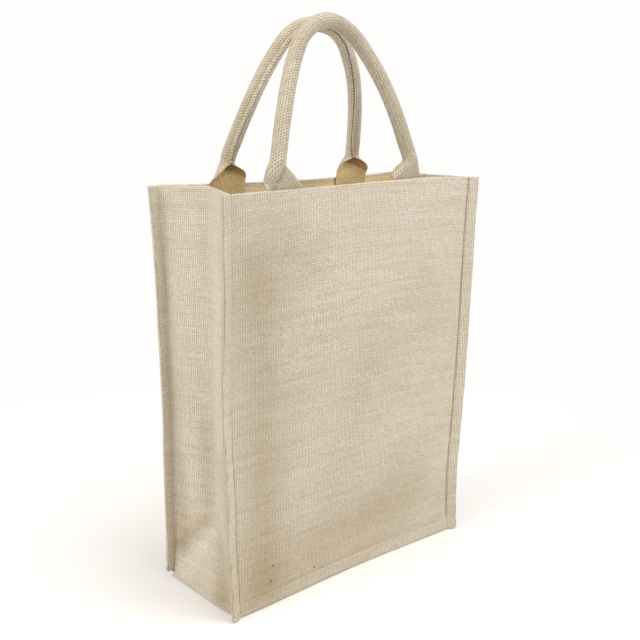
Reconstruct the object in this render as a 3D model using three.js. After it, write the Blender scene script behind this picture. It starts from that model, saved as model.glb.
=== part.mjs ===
// Jute tote bag, standing open and empty with its handles up.
// Front and back panels are sewn to one U-shaped gusset strip by turned-out seams,
// and each panel carries a handle of webbing rolled into a tube between flat ends.
// Millimetres. X runs along the front panel, -Y is the front, Z = 0 is the floor.

import * as THREE from 'three';

// Driving sizes
const RIM_HEIGHT = 400; // floor to the folded top edge
const BASE_SEAM = 14; // height of the base seams, and so of the lower flanges
const FLANGE = 13; // side flange from its stitching to its folded edge
const CLOTH = 1.3; // one layer of jute
const FLANGE_PLY = 1.6; // one cloth of a flange with its raw edge turned in
const HEM_DEPTH = 35; // top edge folded to the inside
const HEM_FOOT = RIM_HEIGHT - HEM_DEPTH;
const HEM_STEP = 2; // height over which the hem thickens
const HEM_INSET = 10; // the turned-in hem starts this far from the side seams
const GAP = 0.4; // between neighbouring pieces
const CREASE_FOOT = 68; // where the gusset's centre crease parts into two diagonals
const BASE_SLOPE_RUN = 5; // how far in from a base seam the base cloth reaches the floor
const FOLD_RADIUS = 0.6; // of the fold between gusset side and base, at the seams
const FOLD_BOW = 4.5; // bow of the fold between gusset side and base
const FLANGE_LEAN = 1.7; // outward lean of the lower flanges at the floor
const WEBBING_WIDTH = 44;
const WEBBING_THICKNESS = 1.8;
const FLAT_FOOT = HEM_FOOT + 1.5; // lower end of the sewn flat
const FLAT_OVER = 0.5; // the webbing is flat up to this far over the rim
const TUBE_RADIUS = 6.6; // of the rolled handle, to the middle of its webbing
const HALF_TURN = 0.975 * Math.PI; // a rolled tube keeps a narrow slit at its seam
const ROLL_POWER = { front: 0.55, back: 1.1 }; // below 1 the edges curl in at once over the rim
const FILL_FROM = 0.72; // from this closure on the roll is filled
const TUBE_BORE = 1.0; // radius left at the middle of the rolled, filled tube

// Stitch lines of the four upright seams on the outer faces, from the floor up
const SEAMS = [
  { z: 14, frontLeft: -150, frontRight: 147.6, backLeft: -147.6, backRight: 148, halfDepth: 55.9 },
  { z: 60, frontLeft: -153.2, frontRight: 145.6, backLeft: -148.4, backRight: 147, halfDepth: 55.5 },
  { z: 120, frontLeft: -154.9, frontRight: 148.3, backLeft: -149.6, backRight: 149, halfDepth: 55 },
  { z: 185, frontLeft: -159.1, frontRight: 151.7, backLeft: -151, backRight: 151, halfDepth: 54.5 },
  { z: 290, frontLeft: -158.4, frontRight: 154.4, backLeft: -155.6, backRight: 154, halfDepth: 53.6 },
  { z: 350, frontLeft: -158, frontRight: 155.5, backLeft: -159.4, backRight: 156.5, halfDepth: 53.1 },
  { z: 400, frontLeft: -157.7, frontRight: 157.8, backLeft: -163, backRight: 158, halfDepth: 52.7 },
];

// Turn of each upright flange away from its panel's plane, in degrees
const SPLAY = { frontLeft: 25, frontRight: 28, backLeft: -15, backRight: 10 };

// Centre crease of each gusset side, pushed in between the panels
const CREASES = [
  { z: 68, leftX: -132.0, leftY: 4, rightX: 130.5, rightY: 1 },
  { z: 185, leftX: -133.6, leftY: 4, rightX: 133.5, rightY: 2 },
  { z: 290, leftX: -134.9, leftY: 5, rightX: 136.0, rightY: 2 },
  { z: 400, leftX: -137.0, leftY: 8, rightX: 138.5, rightY: 3 },
];

// Outward bulge of the gusset's front and back halves between seam and crease
const HALF_BULGE = [
  { z: 14, front: 0, back: 0 },
  { z: 68, front: 1.5, back: 3 },
  { z: 200, front: 3, back: 6 },
  { z: 330, front: 1.5, back: 4 },
  { z: 400, front: 0, back: 0 },
];

// Height of the rim over RIM_HEIGHT along each panel
const FRONT_RIM = [
  { x: -158, rise: 0.4 },
  { x: -79, rise: 1.1 },
  { x: 42, rise: 2.8 },
  { x: 99, rise: 3.3 },
  { x: 158, rise: 0.9 },
];
const BACK_RIM = [
  { x: -158, rise: -0.6 },
  { x: -127, rise: -1.7 },
  { x: 114, rise: -2.5 },
  { x: 158, rise: -0.8 },
];
const CREASE_RISE = 1.0; // rise of the rim at the gusset creases
const RISE_DEPTH = 100; // the rim's rise fades out this far below it

// Shape of each panel between its seams: outward belly, and the base seam's inward bow
const PANELS = {
  front: {
    facing: -1, belly: 3, bow: 4, bowMiddle: 25,
    rim: FRONT_RIM, left: 'frontLeft', right: 'frontRight',
  },
  back: {
    facing: 1, belly: 3.5, bow: 3, bowMiddle: -10,
    rim: BACK_RIM, left: 'backLeft', right: 'backRight',
  },
};
const BOW_FADE = 70; // height in which the base seam's bow fades out

// Handle arches: middle of the webbing at each height, half spacing of the legs, the place
// of both sewn flats along x and the length over which each leg closes into a tube
const HANDLES = {
  front: {
    middle: -14.4,
    flats: { left: -93.7, right: 68.1 },
    rollRun: { left: 26, right: 19 },
    rise: [
      { z: 418, half: 86.2, y: -46.3 },
      { z: 440, half: 80.9, y: -41.7 },
      { z: 470, half: 71.0, y: -35.5 },
      { z: 500, half: 58.0, y: -27.6 },
      { z: 520, half: 46.3, y: -21.4 },
      { z: 535, half: 35.0, y: -17.0 },
      { z: 545.5, half: 21.0, y: -14.8 },
      { z: 551.3, half: 0, y: -13.6 },
    ],
  },
  back: {
    middle: 0.2,
    flats: { left: -85.3, right: 81.7 },
    rollRun: { left: 19, right: 21 },
    rise: [
      { z: 418, half: 84.1, y: 50.6 },
      { z: 440, half: 79.5, y: 44.2 },
      { z: 470, half: 71.2, y: 34.9 },
      { z: 500, half: 59.8, y: 26.8 },
      { z: 520, half: 48.6, y: 22.6 },
      { z: 535, half: 37.4, y: 20.0 },
      { z: 544, half: 25.5, y: 18.8 },
      { z: 549.6, half: 0, y: 17.8 },
    ],
  },
};

// Mesh fineness
const FOLD_STEPS = 6; // grid steps from a seam to the crease, and from the crease foot down
const FIELD_STEPS = 14; // grid steps across a panel between its hem's ends
const STRIP_STEPS = 12; // grid steps across the webbing
const TUBE_STEPS = 22; // stations along a rolled handle
const FLAT_SHARES = [0, 0.5, 0.87, 1]; // stations along a flat end
const ROLL_SHARES = [0.1, 0.25, 0.45, 0.7, 1]; // stations where the webbing rolls up

const { clamp, lerp, degToRad, smoothstep } = THREE.MathUtils;
const point = (x, y, z) => new THREE.Vector3(x, y, z);

// Value of one column of a table at a place between its rows
function read(table, along, column, place) {
  let upper = table.findIndex((row) => row[along] > place);
  if (upper < 1) upper = upper === 0 ? 1 : table.length - 1;
  const [low, high] = [table[upper - 1], table[upper]];
  const share = clamp((place - low[along]) / (high[along] - low[along]), 0, 1);
  return lerp(low[column], high[column], share);
}

// A closed slab from two facing grids of points with the same rows and columns
function slab(near, far, splitAlongRise = () => true) {
  const rows = near.length;
  const columns = near[0].length;
  const positions = [];
  for (const layer of [near, far]) {
    for (const row of layer) for (const p of row) positions.push(p.x, p.y, Math.max(p.z, 0));
  }
  const id = (layer, i, j) => (layer * rows + i) * columns + j;
  const triangles = [];
  for (let i = 0; i < rows - 1; i++) {
    for (let j = 0; j < columns - 1; j++) {
      for (const layer of [0, 1]) {
        const [a, b] = [id(layer, i, j), id(layer, i + 1, j)];
        const [c, d] = [id(layer, i + 1, j + 1), id(layer, i, j + 1)];
        const pair = splitAlongRise(i, j) ? [[a, b, c], [a, c, d]] : [[a, b, d], [b, c, d]];
        for (const t of pair) triangles.push(layer ? t : t.reverse());
      }
    }
  }
  const rim = [];
  for (let j = 0; j < columns - 1; j++) rim.push([0, j]);
  for (let i = 0; i < rows - 1; i++) rim.push([i, columns - 1]);
  for (let j = columns - 1; j > 0; j--) rim.push([rows - 1, j]);
  for (let i = rows - 1; i > 0; i--) rim.push([i, 0]);
  rim.forEach(([i, j], k) => {
    const [m, n] = rim[(k + 1) % rim.length];
    triangles.push([id(1, i, j), id(1, m, n), id(0, m, n)]);
    triangles.push([id(1, i, j), id(0, m, n), id(0, i, j)]);
  });
  const geometry = new THREE.BufferGeometry();
  geometry.setAttribute('position', new THREE.Float32BufferAttribute(positions, 3));
  geometry.setIndex(facingOut(positions, triangles).flat());
  geometry.computeVertexNormals();
  return geometry;
}

// The triangles, turned over if they enclose a negative volume
function facingOut(positions, triangles) {
  const corner = (k) => point().fromArray(positions, 3 * k);
  const volume = triangles.reduce((sum, [a, b, c]) => sum + corner(a).dot(corner(b).cross(corner(c))), 0);
  return volume > 0 ? triangles : triangles.map((t) => t.reverse());
}

const LEAST_SPREAD = 0.6; // keeps the corners of sharp folds from running out far

// A grid moved along its mean normals, so that each face lies the given distance away
function offset(grid, distance) {
  const faceNormal = (i, j) => {
    const across = grid[i + 1][j + 1].clone().sub(grid[i][j]);
    const back = grid[i][j + 1].clone().sub(grid[i + 1][j]);
    return across.cross(back).normalize();
  };
  return grid.map((row, i) => row.map((p, j) => {
    const around = [];
    for (const m of [i - 1, i]) {
      for (const n of [j - 1, j]) {
        if (m >= 0 && n >= 0 && m < grid.length - 1 && n < row.length - 1) around.push(faceNormal(m, n));
      }
    }
    const mean = around.reduce((sum, n) => sum.add(n), point(0, 0, 0)).normalize();
    const spread = around.reduce((sum, n) => sum + n.dot(mean), 0) / around.length;
    return p.clone().addScaledVector(mean, distance(i, j) / Math.max(spread, LEAST_SPREAD));
  }));
}

// Parting line between a panel and the gusset: the stitching, half a gap inside the cloth
const INSIDE = CLOTH + GAP / 2;

function partingY(panel, x, z) {
  const { facing, belly, bow, bowMiddle, left, right } = PANELS[panel];
  const [x0, x1] = [read(SEAMS, 'z', left, z), read(SEAMS, 'z', right, z)];
  const across = clamp((x - x0) / (x1 - x0), 0, 1);
  const up = clamp((z - BASE_SEAM) / (HEM_FOOT - BASE_SEAM), 0, 1);
  const out = belly * Math.sin(Math.PI * across) * Math.sin(Math.PI * up);
  const bowed = bow * Math.max(1 - ((x - bowMiddle) / (x1 - x0) * 2) ** 2, 0) * 4 * across * (1 - across);
  const inward = bowed * Math.max(1 - (z - BASE_SEAM) / BOW_FADE, 0);
  return facing * (read(SEAMS, 'z', 'halfDepth', z) + out - inward - INSIDE);
}

// Height of the cloth at a place on a panel, with the rim's rise faded in
function risen(rise, z) {
  return z + rise * clamp((z - RIM_HEIGHT + RISE_DEPTH) / RISE_DEPTH, 0, 1);
}

// The step from a side seam to the folded edge of its flange
function sideStep(corner) {
  const turn = degToRad(SPLAY[corner]);
  const outward = corner.endsWith('Left') ? -1 : 1;
  const forward = corner.startsWith('front') ? -1 : 1;
  return point(outward * Math.cos(turn), forward * Math.sin(turn), 0).multiplyScalar(FLANGE);
}

// The step from a base seam down to the floor edge of its flange
function lowerStep(panel) {
  return point(0, PANELS[panel].facing * FLANGE_LEAN, -BASE_SEAM);
}

function seamPoint(corner, z) {
  const panel = corner.startsWith('front') ? 'front' : 'back';
  const x = read(SEAMS, 'z', corner, z);
  return point(x, partingY(panel, x, z), risen(read(PANELS[panel].rim, 'x', 'rise', x), z));
}

// Heights of the grid rows that panels and gusset share, from the base seam to the rim
const FOOT_RISE = (CREASE_FOOT - BASE_SEAM) / FOLD_STEPS;
const FOOT_ROWS = Array.from({ length: FOLD_STEPS + 1 }, (_, k) => BASE_SEAM + k * FOOT_RISE);
const UPPER_ROWS = [90, 120, 150, 185, 220, 255, 290, 328, HEM_FOOT - HEM_STEP, HEM_FOOT, 383, RIM_HEIGHT];
const HEIGHTS = [...FOOT_ROWS, ...UPPER_ROWS];

// Places across a panel between its side seams, at one height
function fieldPoints(panel, z) {
  const { left, right, rim } = PANELS[panel];
  const [x0, x1] = [read(SEAMS, 'z', left, z) + HEM_INSET, read(SEAMS, 'z', right, z) - HEM_INSET];
  return Array.from({ length: FIELD_STEPS + 1 }, (_, k) => {
    const x = lerp(x0, x1, k / FIELD_STEPS);
    return point(x, partingY(panel, x, z), risen(read(rim, 'x', 'rise', x), z));
  });
}

function panelGrid(panel) {
  const { left, right } = PANELS[panel];
  const rows = HEIGHTS.map((z) => {
    const [a, b] = [seamPoint(left, z), seamPoint(right, z)];
    const [outerA, outerB] = [a.clone().add(sideStep(left)), b.clone().add(sideStep(right))];
    return [outerA, a, ...fieldPoints(panel, z), b, outerB];
  });
  const floorRow = rows[0].map((p) => p.clone().add(lowerStep(panel)));
  return [floorRow, ...rows];
}

// A panel: its hem and its flanges are thicker than the single cloth between them
function panelGeometry(panel) {
  const grid = panelGrid(panel);
  const side = PANELS[panel].facing;
  const last = grid[0].length - 1;
  const isFlange = (i, j) => i === 0 || j === 0 || j === last;
  const isHem = (i, j) => i >= grid.length - 3 && j > 1 && j < last - 1;
  const near = offset(grid, (i, j) => side * (GAP / 2 - (isHem(i, j) ? CLOTH : 0)));
  const far = offset(grid, (i, j) => side * (GAP / 2 + (isFlange(i, j) ? FLANGE_PLY : CLOTH)));
  return slab(near, far);
}

// One row across a gusset side: flange edge, front seam, crease, back seam, flange edge.
// Below the crease foot the valley is cut off by a flat face between two diagonals.
function sideRow(side, z) {
  const [frontCorner, backCorner] = [`front${side}`, `back${side}`];
  const [front, back] = [seamPoint(frontCorner, z), seamPoint(backCorner, z)];
  const key = side.toLowerCase();
  const height = Math.max(z, CREASE_FOOT);
  const crease = point(0, 0, risen(CREASE_RISE, z));
  crease.x = read(CREASES, 'z', `${key}X`, height);
  crease.y = read(CREASES, 'z', `${key}Y`, height);
  const outward = side === 'Left' ? -1 : 1;
  const down = clamp((CREASE_FOOT - z) / (CREASE_FOOT - BASE_SEAM), 0, 1);
  const bulge = { front: read(HALF_BULGE, 'z', 'front', z), back: read(HALF_BULGE, 'z', 'back', z) };
  const onHalf = (seam, share, swell) => {
    const p = seam.clone().lerp(crease, Math.min(share, 1 - down));
    const along = crease.clone().sub(seam).setZ(0).normalize();
    const normal = point(Math.abs(along.y) * outward, -Math.sign(along.y) * along.x * outward, 0);
    return p.addScaledVector(normal, swell * 4 * share * Math.max(1 - down - share, 0));
  };
  const [frontDiagonal, backDiagonal] = [onHalf(front, 1, 0), onHalf(back, 1, 0)];
  const wall = [];
  for (let k = 0; k <= 2 * FOLD_STEPS; k++) {
    const [seam, swell] = k <= FOLD_STEPS ? [front, bulge.front] : [back, bulge.back];
    const share = 1 - Math.abs(k / FOLD_STEPS - 1);
    let p = onHalf(seam, share, swell);
    if (share > 1 - down) {
      const span = (k / FOLD_STEPS - (1 - down)) / (2 * down);
      p = frontDiagonal.clone().lerp(backDiagonal, clamp(span, 0, 1));
    }
    p.x += outward * FOLD_BOW * down ** 2 * share * (2 - share);
    const inFromSeam = Math.min(Math.abs(p.y - front.y), Math.abs(p.y - back.y));
    p.z = lerp(p.z, baseHeight(inFromSeam), down ** 2);
    wall.push(p);
  }
  return [front.clone().add(sideStep(frontCorner)), ...wall, back.clone().add(sideStep(backCorner))];
}

// Height of the base cloth's parting face at a distance in from its seam
function baseHeight(inFromSeam) {
  return lerp(BASE_SEAM, INSIDE, clamp(inFromSeam / BASE_SLOPE_RUN, 0, 1));
}

// The fold between a gusset side and the base, with the flanges' square corners
function foldRow(side) {
  const row = sideRow(side, BASE_SEAM);
  row[0].add(lowerStep('front'));
  row[row.length - 1].add(lowerStep('back'));
  return row;
}

// Points along a base seam, starting and ending just inside the bag's corners
function baseSeam(panel) {
  const { left, right } = PANELS[panel];
  const ends = [[left, FOLD_RADIUS], [right, -FOLD_RADIUS]].map(([corner, inset]) => {
    const x = read(SEAMS, 'z', corner, BASE_SEAM) + inset;
    return point(x, partingY(panel, x, BASE_SEAM), BASE_SEAM);
  });
  return [ends[0], ...fieldPoints(panel, BASE_SEAM), ends[1]];
}

// One row across the base, between two facing points of the base seams
function baseRow(front, back) {
  const floor = Array.from({ length: 2 * FOLD_STEPS + 1 }, (_, k) => {
    const p = front.clone().lerp(back, k / (2 * FOLD_STEPS));
    return p.setZ(baseHeight(Math.min(p.y - front.y, back.y - p.y)));
  });
  return [front.clone().add(lowerStep('front')), ...floor, back.clone().add(lowerStep('back'))];
}

// The gusset: one strip down the left side, along the base and up the right side
function gussetGeometry() {
  const heights = [BASE_SEAM + FOLD_RADIUS, ...HEIGHTS.slice(1)];
  const [left, right] = ['Left', 'Right'].map((side) => heights.map((z) => sideRow(side, z)));
  const backSeam = baseSeam('back');
  const base = baseSeam('front').map((front, k) => baseRow(front, backSeam[k]));
  const grid = [...left.reverse(), foldRow('Left'), ...base, foldRow('Right'), ...right];
  const last = grid[0].length - 1;
  const isHem = (i, j) => Math.min(i, grid.length - 1 - i) < 3 && j > 1 && j < last - 1;
  const near = offset(grid, (i, j) => (isHem(i, j) ? CLOTH : 0) - GAP / 2);
  const far = offset(grid, (i, j) => -GAP / 2 - (j === 0 || j === last ? FLANGE_PLY : CLOTH));
  const onSide = (i) => i < left.length || i >= grid.length - 1 - right.length;
  const isEdge = (j) => j === 0 || j === last - 1;
  return slab(near, far, (i, j) => ((i < grid.length / 2) !== (j < last / 2)) !== (onSide(i) && isEdge(j)));
}

// Length of each sewn flat, from its foot to just over the rim
function flatLengths(panel) {
  const { left, right } = HANDLES[panel].flats;
  const rimAt = (x) => risen(read(PANELS[panel].rim, 'x', 'rise', x), RIM_HEIGHT);
  return [left, right].map((x) => rimAt(x) + FLAT_OVER - FLAT_FOOT);
}

// The webbing's path: up from the sewn flat, over the arch and down to the other flat
function handleCurve(panel) {
  const { middle, flats, rise } = HANDLES[panel];
  const lengths = flatLengths(panel);
  const legs = [-1, 1].map((side, leg) => {
    const x = side < 0 ? flats.left : flats.right;
    const heights = FLAT_SHARES.map((share) => FLAT_FOOT + share * lengths[leg]);
    const flat = heights.map((z) => point(x, flatY(panel, x, z), z));
    return [...flat, ...rise.map(({ z, half, y }) => point(middle + side * half, y, z))];
  });
  return new THREE.CatmullRomCurve3([...legs[0], ...legs[1].reverse().slice(1)]);
}

// Middle of the flat webbing, lying on the inner face of the hem
function flatY(panel, x, z) {
  const fromParting = CLOTH + GAP + WEBBING_THICKNESS / 2;
  return partingY(panel, x, z) - PANELS[panel].facing * fromParting;
}

// Section of the webbing as it closes from 0, flat, to 1, a tube: its middle is still flat
// and both sides are bent to the tube's radius. Its centroid lies on the path.
function webbingSection(closed, layer) {
  const flat = (1 - closed) * WEBBING_WIDTH / 2;
  const last = closed * HALF_TURN;
  const centroid = 2 * TUBE_RADIUS ** 2 * (last - Math.sin(last)) / WEBBING_WIDTH;
  const filled = smoothstep(closed, FILL_FROM, 1);
  const inner = lerp(TUBE_RADIUS - WEBBING_THICKNESS / 2, TUBE_BORE, filled);
  const reach = layer === 'outer' ? TUBE_RADIUS + WEBBING_THICKNESS / 2 : inner;
  return Array.from({ length: STRIP_STEPS + 1 }, (_, k) => {
    const share = 2 * k / STRIP_STEPS - 1;
    const distance = Math.abs(share) * WEBBING_WIDTH / 2;
    const angle = closed > 0 ? Math.max(distance - flat, 0) / (WEBBING_WIDTH / 2 - flat) * last : 0;
    const across = Math.min(distance, flat) + reach * Math.sin(angle);
    return { across: Math.sign(share) * across, inward: TUBE_RADIUS - centroid - reach * Math.cos(angle) };
  });
}

function handleGeometry(panel) {
  const curve = handleCurve(panel);
  const length = curve.getLength();
  const [leftFlat, rightFlat] = flatLengths(panel);
  const { left, right } = HANDLES[panel].rollRun;
  const endStations = (flat, roll) => {
    return [...FLAT_SHARES.map((share) => share * flat), ...ROLL_SHARES.map((share) => flat + share * roll)];
  };
  const pitch = (length - leftFlat - rightFlat - left - right) / TUBE_STEPS;
  const tube = Array.from({ length: TUBE_STEPS - 1 }, (_, k) => leftFlat + left + (k + 1) * pitch);
  const rightEnd = endStations(rightFlat, right).map((s) => length - s).reverse();
  const stations = [...endStations(leftFlat, left), ...tube, ...rightEnd];
  const rolled = (s) => clamp(Math.min((s - leftFlat) / left, (length - s - rightFlat) / right), 0, 1);
  const inside = point(0, -PANELS[panel].facing, 0);
  const gridOf = (layer) => stations.map((s) => {
    const centre = curve.getPointAt(s / length);
    const closed = rolled(s) ** ROLL_POWER[panel];
    const upright = point(0, 0, s < length / 2 ? 1 : -1);
    const tangent = upright.lerp(curve.getTangentAt(s / length), smoothstep(rolled(s), 0, 1)).normalize();
    const inward = inside.clone().addScaledVector(tangent, -inside.dot(tangent)).normalize();
    const across = tangent.clone().cross(inward);
    const section = webbingSection(closed, layer);
    return section.map((q) => {
      return centre.clone().addScaledVector(across, q.across).addScaledVector(inward, q.inward);
    });
  });
  return slab(gridOf('inner'), gridOf('outer'));
}

const juteCloth = (color) => new THREE.MeshStandardMaterial({ color, roughness: 0.92, metalness: 0 });
const cottonWebbing = (color) => new THREE.MeshStandardMaterial({ color, roughness: 0.85, metalness: 0 });

const bag = new THREE.Group();
function sew(name, geometry, material) {
  const mesh = new THREE.Mesh(geometry, material);
  mesh.name = name;
  bag.add(mesh);
}

sew('front_panel', panelGeometry('front'), juteCloth('#cdc0aa'));
sew('back_panel', panelGeometry('back'), juteCloth('#c8baa0'));
sew('gusset', gussetGeometry(), juteCloth('#d4c8b1'));
sew('handle_front', handleGeometry('front'), cottonWebbing('#c2b5a1'));
sew('handle_back', handleGeometry('back'), cottonWebbing('#c5b9a0'));

export default bag;
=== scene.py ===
# %% [markdown]
# # A jute tote bag from five pieces of cloth
# The real bag is cut from plain jute: a front, a back and one long gusset strip that runs down one side,
# under the base and up the other. Two strips of cotton webbing, rolled round in the middle, are its handles.
# Every piece below is a thin sheet, worked out as a surface of two parameters and given its thickness.
# First we load the frame, which holds the bag's solids.

# %% Load the frame
import math
from functools import partial
import bpy
import numpy as np
from mathutils import Matrix


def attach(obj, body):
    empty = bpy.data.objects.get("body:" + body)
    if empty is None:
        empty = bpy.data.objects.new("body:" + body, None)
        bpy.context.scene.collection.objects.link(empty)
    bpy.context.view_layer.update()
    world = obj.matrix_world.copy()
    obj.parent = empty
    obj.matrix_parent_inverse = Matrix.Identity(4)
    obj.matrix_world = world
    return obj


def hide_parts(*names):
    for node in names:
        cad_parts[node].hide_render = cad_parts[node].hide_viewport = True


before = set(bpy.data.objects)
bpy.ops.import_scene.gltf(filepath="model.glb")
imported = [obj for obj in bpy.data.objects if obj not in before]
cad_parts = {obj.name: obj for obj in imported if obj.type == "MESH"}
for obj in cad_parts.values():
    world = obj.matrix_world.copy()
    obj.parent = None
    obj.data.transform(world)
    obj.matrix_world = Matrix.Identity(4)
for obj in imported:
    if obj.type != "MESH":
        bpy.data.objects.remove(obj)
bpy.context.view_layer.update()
MM = 0.001
print("solids:", sorted(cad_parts))

# %% [markdown]
# ## The camera
# A camera is placed by where it stands and which way it looks. The bag is seen a little from above,
# turned so that its left side and its front both show. Three angles give the camera's own axes:
# yaw turns it round the upright, pitch tips it down, and roll tilts the picture.

# %% Camera
CAMERA_PLACE = (-0.66262, -0.71866, 0.49285)
YAW, PITCH, ROLL = (math.radians(angle) for angle in (42.517, 13.549, 1.272))
LENS, SENSOR, NEAREST, FURTHEST = 55.006, 36.0, 0.05, 100


def camera_axes(yaw, pitch, roll):
    """Right, up and backward axes. Ahead is (sin yaw cos pitch, cos yaw cos pitch, -sin pitch);
    the level right axis and the upright one are turned by roll within the picture."""
    ahead = np.array([math.sin(yaw) * math.cos(pitch), math.cos(yaw) * math.cos(pitch), -math.sin(pitch)])
    level = np.array([math.cos(yaw), -math.sin(yaw), 0.0])
    above = np.cross(level, ahead)
    right = math.cos(roll) * level + math.sin(roll) * above
    up = math.cos(roll) * above - math.sin(roll) * level
    return right, up, -ahead


def add_object(name, data):
    """A new object in the scene, for a mesh, a camera or a light."""
    item = bpy.data.objects.new(name, data)
    bpy.context.collection.objects.link(item)
    return item


def stand(item, place, *axes):
    """Puts a camera or a light at a place; its axes and the place are the columns of its matrix."""
    item.matrix_world = Matrix([*np.column_stack([*axes, place]).tolist(), [0, 0, 0, 1]])


lens = bpy.data.cameras.new("camera")
lens.lens, lens.sensor_width = LENS, SENSOR
lens.clip_start, lens.clip_end = NEAREST, FURTHEST
camera = add_object("camera", lens)
stand(camera, CAMERA_PLACE, *camera_axes(YAW, PITCH, ROLL))
bpy.context.scene.camera = camera
print("camera at", CAMERA_PLACE)

# %% [markdown]
# ## Building blocks for materials
# A material is a small network of nodes. `wire` adds one node and joins its sockets: a number is set
# on the socket, and an output of another node is linked to it. `calc` does one step of arithmetic. An
# output knows its own network as `id_data`, so the helpers that are given one needn't be told it.

# %% Node helpers
SPECULAR, SHEEN_ROUGHNESS = 0.25, 0.5


def wire(tree, kind, settings=(), **sockets):
    """Adds a node; each keyword names a socket, with a value or with another node's output."""
    node = tree.nodes.new("ShaderNode" + kind)
    for key, value in dict(settings).items():
        setattr(node, key, value)
    for key, value in sockets.items():
        socket = node.inputs[int(key[1:]) if key[1:].isdigit() else key.replace("_", " ")]
        if isinstance(value, bpy.types.NodeSocket):
            tree.links.new(value, socket)
        else:
            socket.default_value = value
    return node


def calc(operation, first, second=0.0, third=0.0):
    """One Math node: the operation on up to three numbers or outputs."""
    tree = next(value.id_data for value in (first, second, third) if isinstance(value, bpy.types.NodeSocket))
    return wire(tree, "Math", {"operation": operation}, _0=first, _1=second, _2=third).outputs[0]


plus, minus, times, over = (partial(calc, name) for name in ("ADD", "SUBTRACT", "MULTIPLY", "DIVIDE"))
larger, size_of, more_than = (partial(calc, name) for name in ("MAXIMUM", "ABSOLUTE", "GREATER_THAN"))
sine, whole, times_plus = (partial(calc, name) for name in ("SINE", "FLOOR", "MULTIPLY_ADD"))


def remap(value, low, high, new_low=0.0, new_high=1.0):
    """A value's range from low to high, moved smoothly to the range from new_low to new_high."""
    settings = {"interpolation_type": "SMOOTHSTEP"}
    return wire(value.id_data, "MapRange", settings, Value=value, From_Min=low, From_Max=high,
                To_Min=new_low, To_Max=new_high).outputs[0]


def blend(share, first, second, how="MIX"):
    """A colour between two colours by a share from 0 to 1, or the first multiplied by the second."""
    settings = {"data_type": "RGBA", "blend_type": how}
    return wire(share.id_data, "Mix", settings, _0=share, _6=first, _7=second).outputs[2]


def noise(place, scale, detail, roughness=0.5):
    """Soft noise from 0 to 1."""
    return wire(place.id_data, "TexNoise", Vector=place, Scale=scale, Detail=detail,
                Roughness=roughness).outputs[0]


def cloth_map(tree):
    """The piece's own cloth map, whose u and v are metres on the flat cloth, and u and v by themselves."""
    cloth = wire(tree, "UVMap", {"uv_map": "cloth"}).outputs[0]
    return cloth, *wire(tree, "SeparateXYZ", Vector=cloth).outputs[:2]


def own_value(tree, name):
    """A value that the piece's own points carry."""
    return wire(tree, "Attribute", {"attribute_name": name}).outputs["Fac"]


def new_material(name, roughness, sheen):
    """An empty cloth material: its node tree and its shader, with a soft sheen."""
    material = bpy.data.materials.new(name)
    material.use_nodes = True
    tree = material.node_tree
    shader = tree.nodes["Principled BSDF"]
    finish = {"Roughness": roughness, "Specular IOR Level": SPECULAR, "Sheen Weight": sheen,
              "Sheen Roughness": SHEEN_ROUGHNESS}
    for socket, value in finish.items():
        shader.inputs[socket].default_value = value
    return material, tree, shader


def finish_cloth(shader, colour, relief, strength, distance):
    """Joins a colour to the shader, and a bump that is distance metres deep where the relief is 1."""
    tree = shader.id_data
    bump = wire(tree, "Bump", Strength=strength, Distance=distance, Height=relief).outputs[0]
    tree.links.new(colour, shader.inputs["Base Color"])
    tree.links.new(bump, shader.inputs["Normal"])


print("node helpers ready")

# %% [markdown]
# ## A plain weave from two waves
# In a plain weave each thread goes over one and under the next. With a = sin(pi u) and b = sin(pi v),
# where u and v count the threads, a warp thread stands (|a| + a b) / 2 high and a weft thread
# (|b| - a b) / 2: where one is on top the other is below. Both are near 0 in the small holes.
# The threads are uneven, so u and v wander a little, and long noises make single threads light or thick.

# %% Weave
WANDER_RATE, HOLD, THREAD_ROUGHNESS = 0.35, 0.06, 0.6
WANDER_SEEDS, TONE_SEEDS = (3.1, 7.7), (11.3, 17.9)


def thread_noise(across, along, seed, detail=1.0):
    """Noise that changes from thread to thread and only slowly along each thread."""
    place = wire(across.id_data, "CombineXYZ", X=across, Y=along, Z=seed).outputs[0]
    return noise(place, 1.0, detail, THREAD_ROUGHNESS)


def weave(tree, pitch, wander, skew=0.0):
    """Height of a plain weave from 0 to 1, the tone of the thread that lies on top, a grain that
    changes from crossing to crossing, and a gap that is 1 between two warp threads. pitch is the
    step from thread to thread across and along, in millimetres, and skew slants the weft."""
    across, along = (over(place, step * MM) for place, step in zip(cloth_map(tree)[1:], pitch))
    along = times_plus(across, skew, along)
    slow_across, slow_along = times(across, HOLD), times(along, HOLD)
    for_warp = thread_noise(times(across, WANDER_RATE), slow_along, WANDER_SEEDS[0])
    for_weft = thread_noise(slow_across, times(along, WANDER_RATE), WANDER_SEEDS[1])
    u = times_plus(minus(for_warp, 0.5), wander, across)
    v = times_plus(minus(for_weft, 0.5), wander, along)
    a, b = (sine(times(place, math.pi)) for place in (u, v))
    both = times(a, b)
    warp = times(plus(size_of(a), both), 0.5)
    weft = times(minus(size_of(b), both), 0.5)
    warp_tone = thread_noise(u, slow_along, TONE_SEEDS[0])
    weft_tone = thread_noise(slow_across, v, TONE_SEEDS[1])
    on_top = more_than(warp, weft)
    tone = wire(tree, "Mix", {"data_type": "FLOAT"}, _0=on_top, _2=weft_tone, _3=warp_tone).outputs[0]
    cell = wire(tree, "CombineXYZ", X=whole(u), Y=whole(v)).outputs[0]
    grain = wire(tree, "TexWhiteNoise", {"noise_dimensions": "2D"}, Vector=cell).outputs["Value"]
    return larger(warp, weft), tone, grain, minus(1.0, size_of(a))


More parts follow.
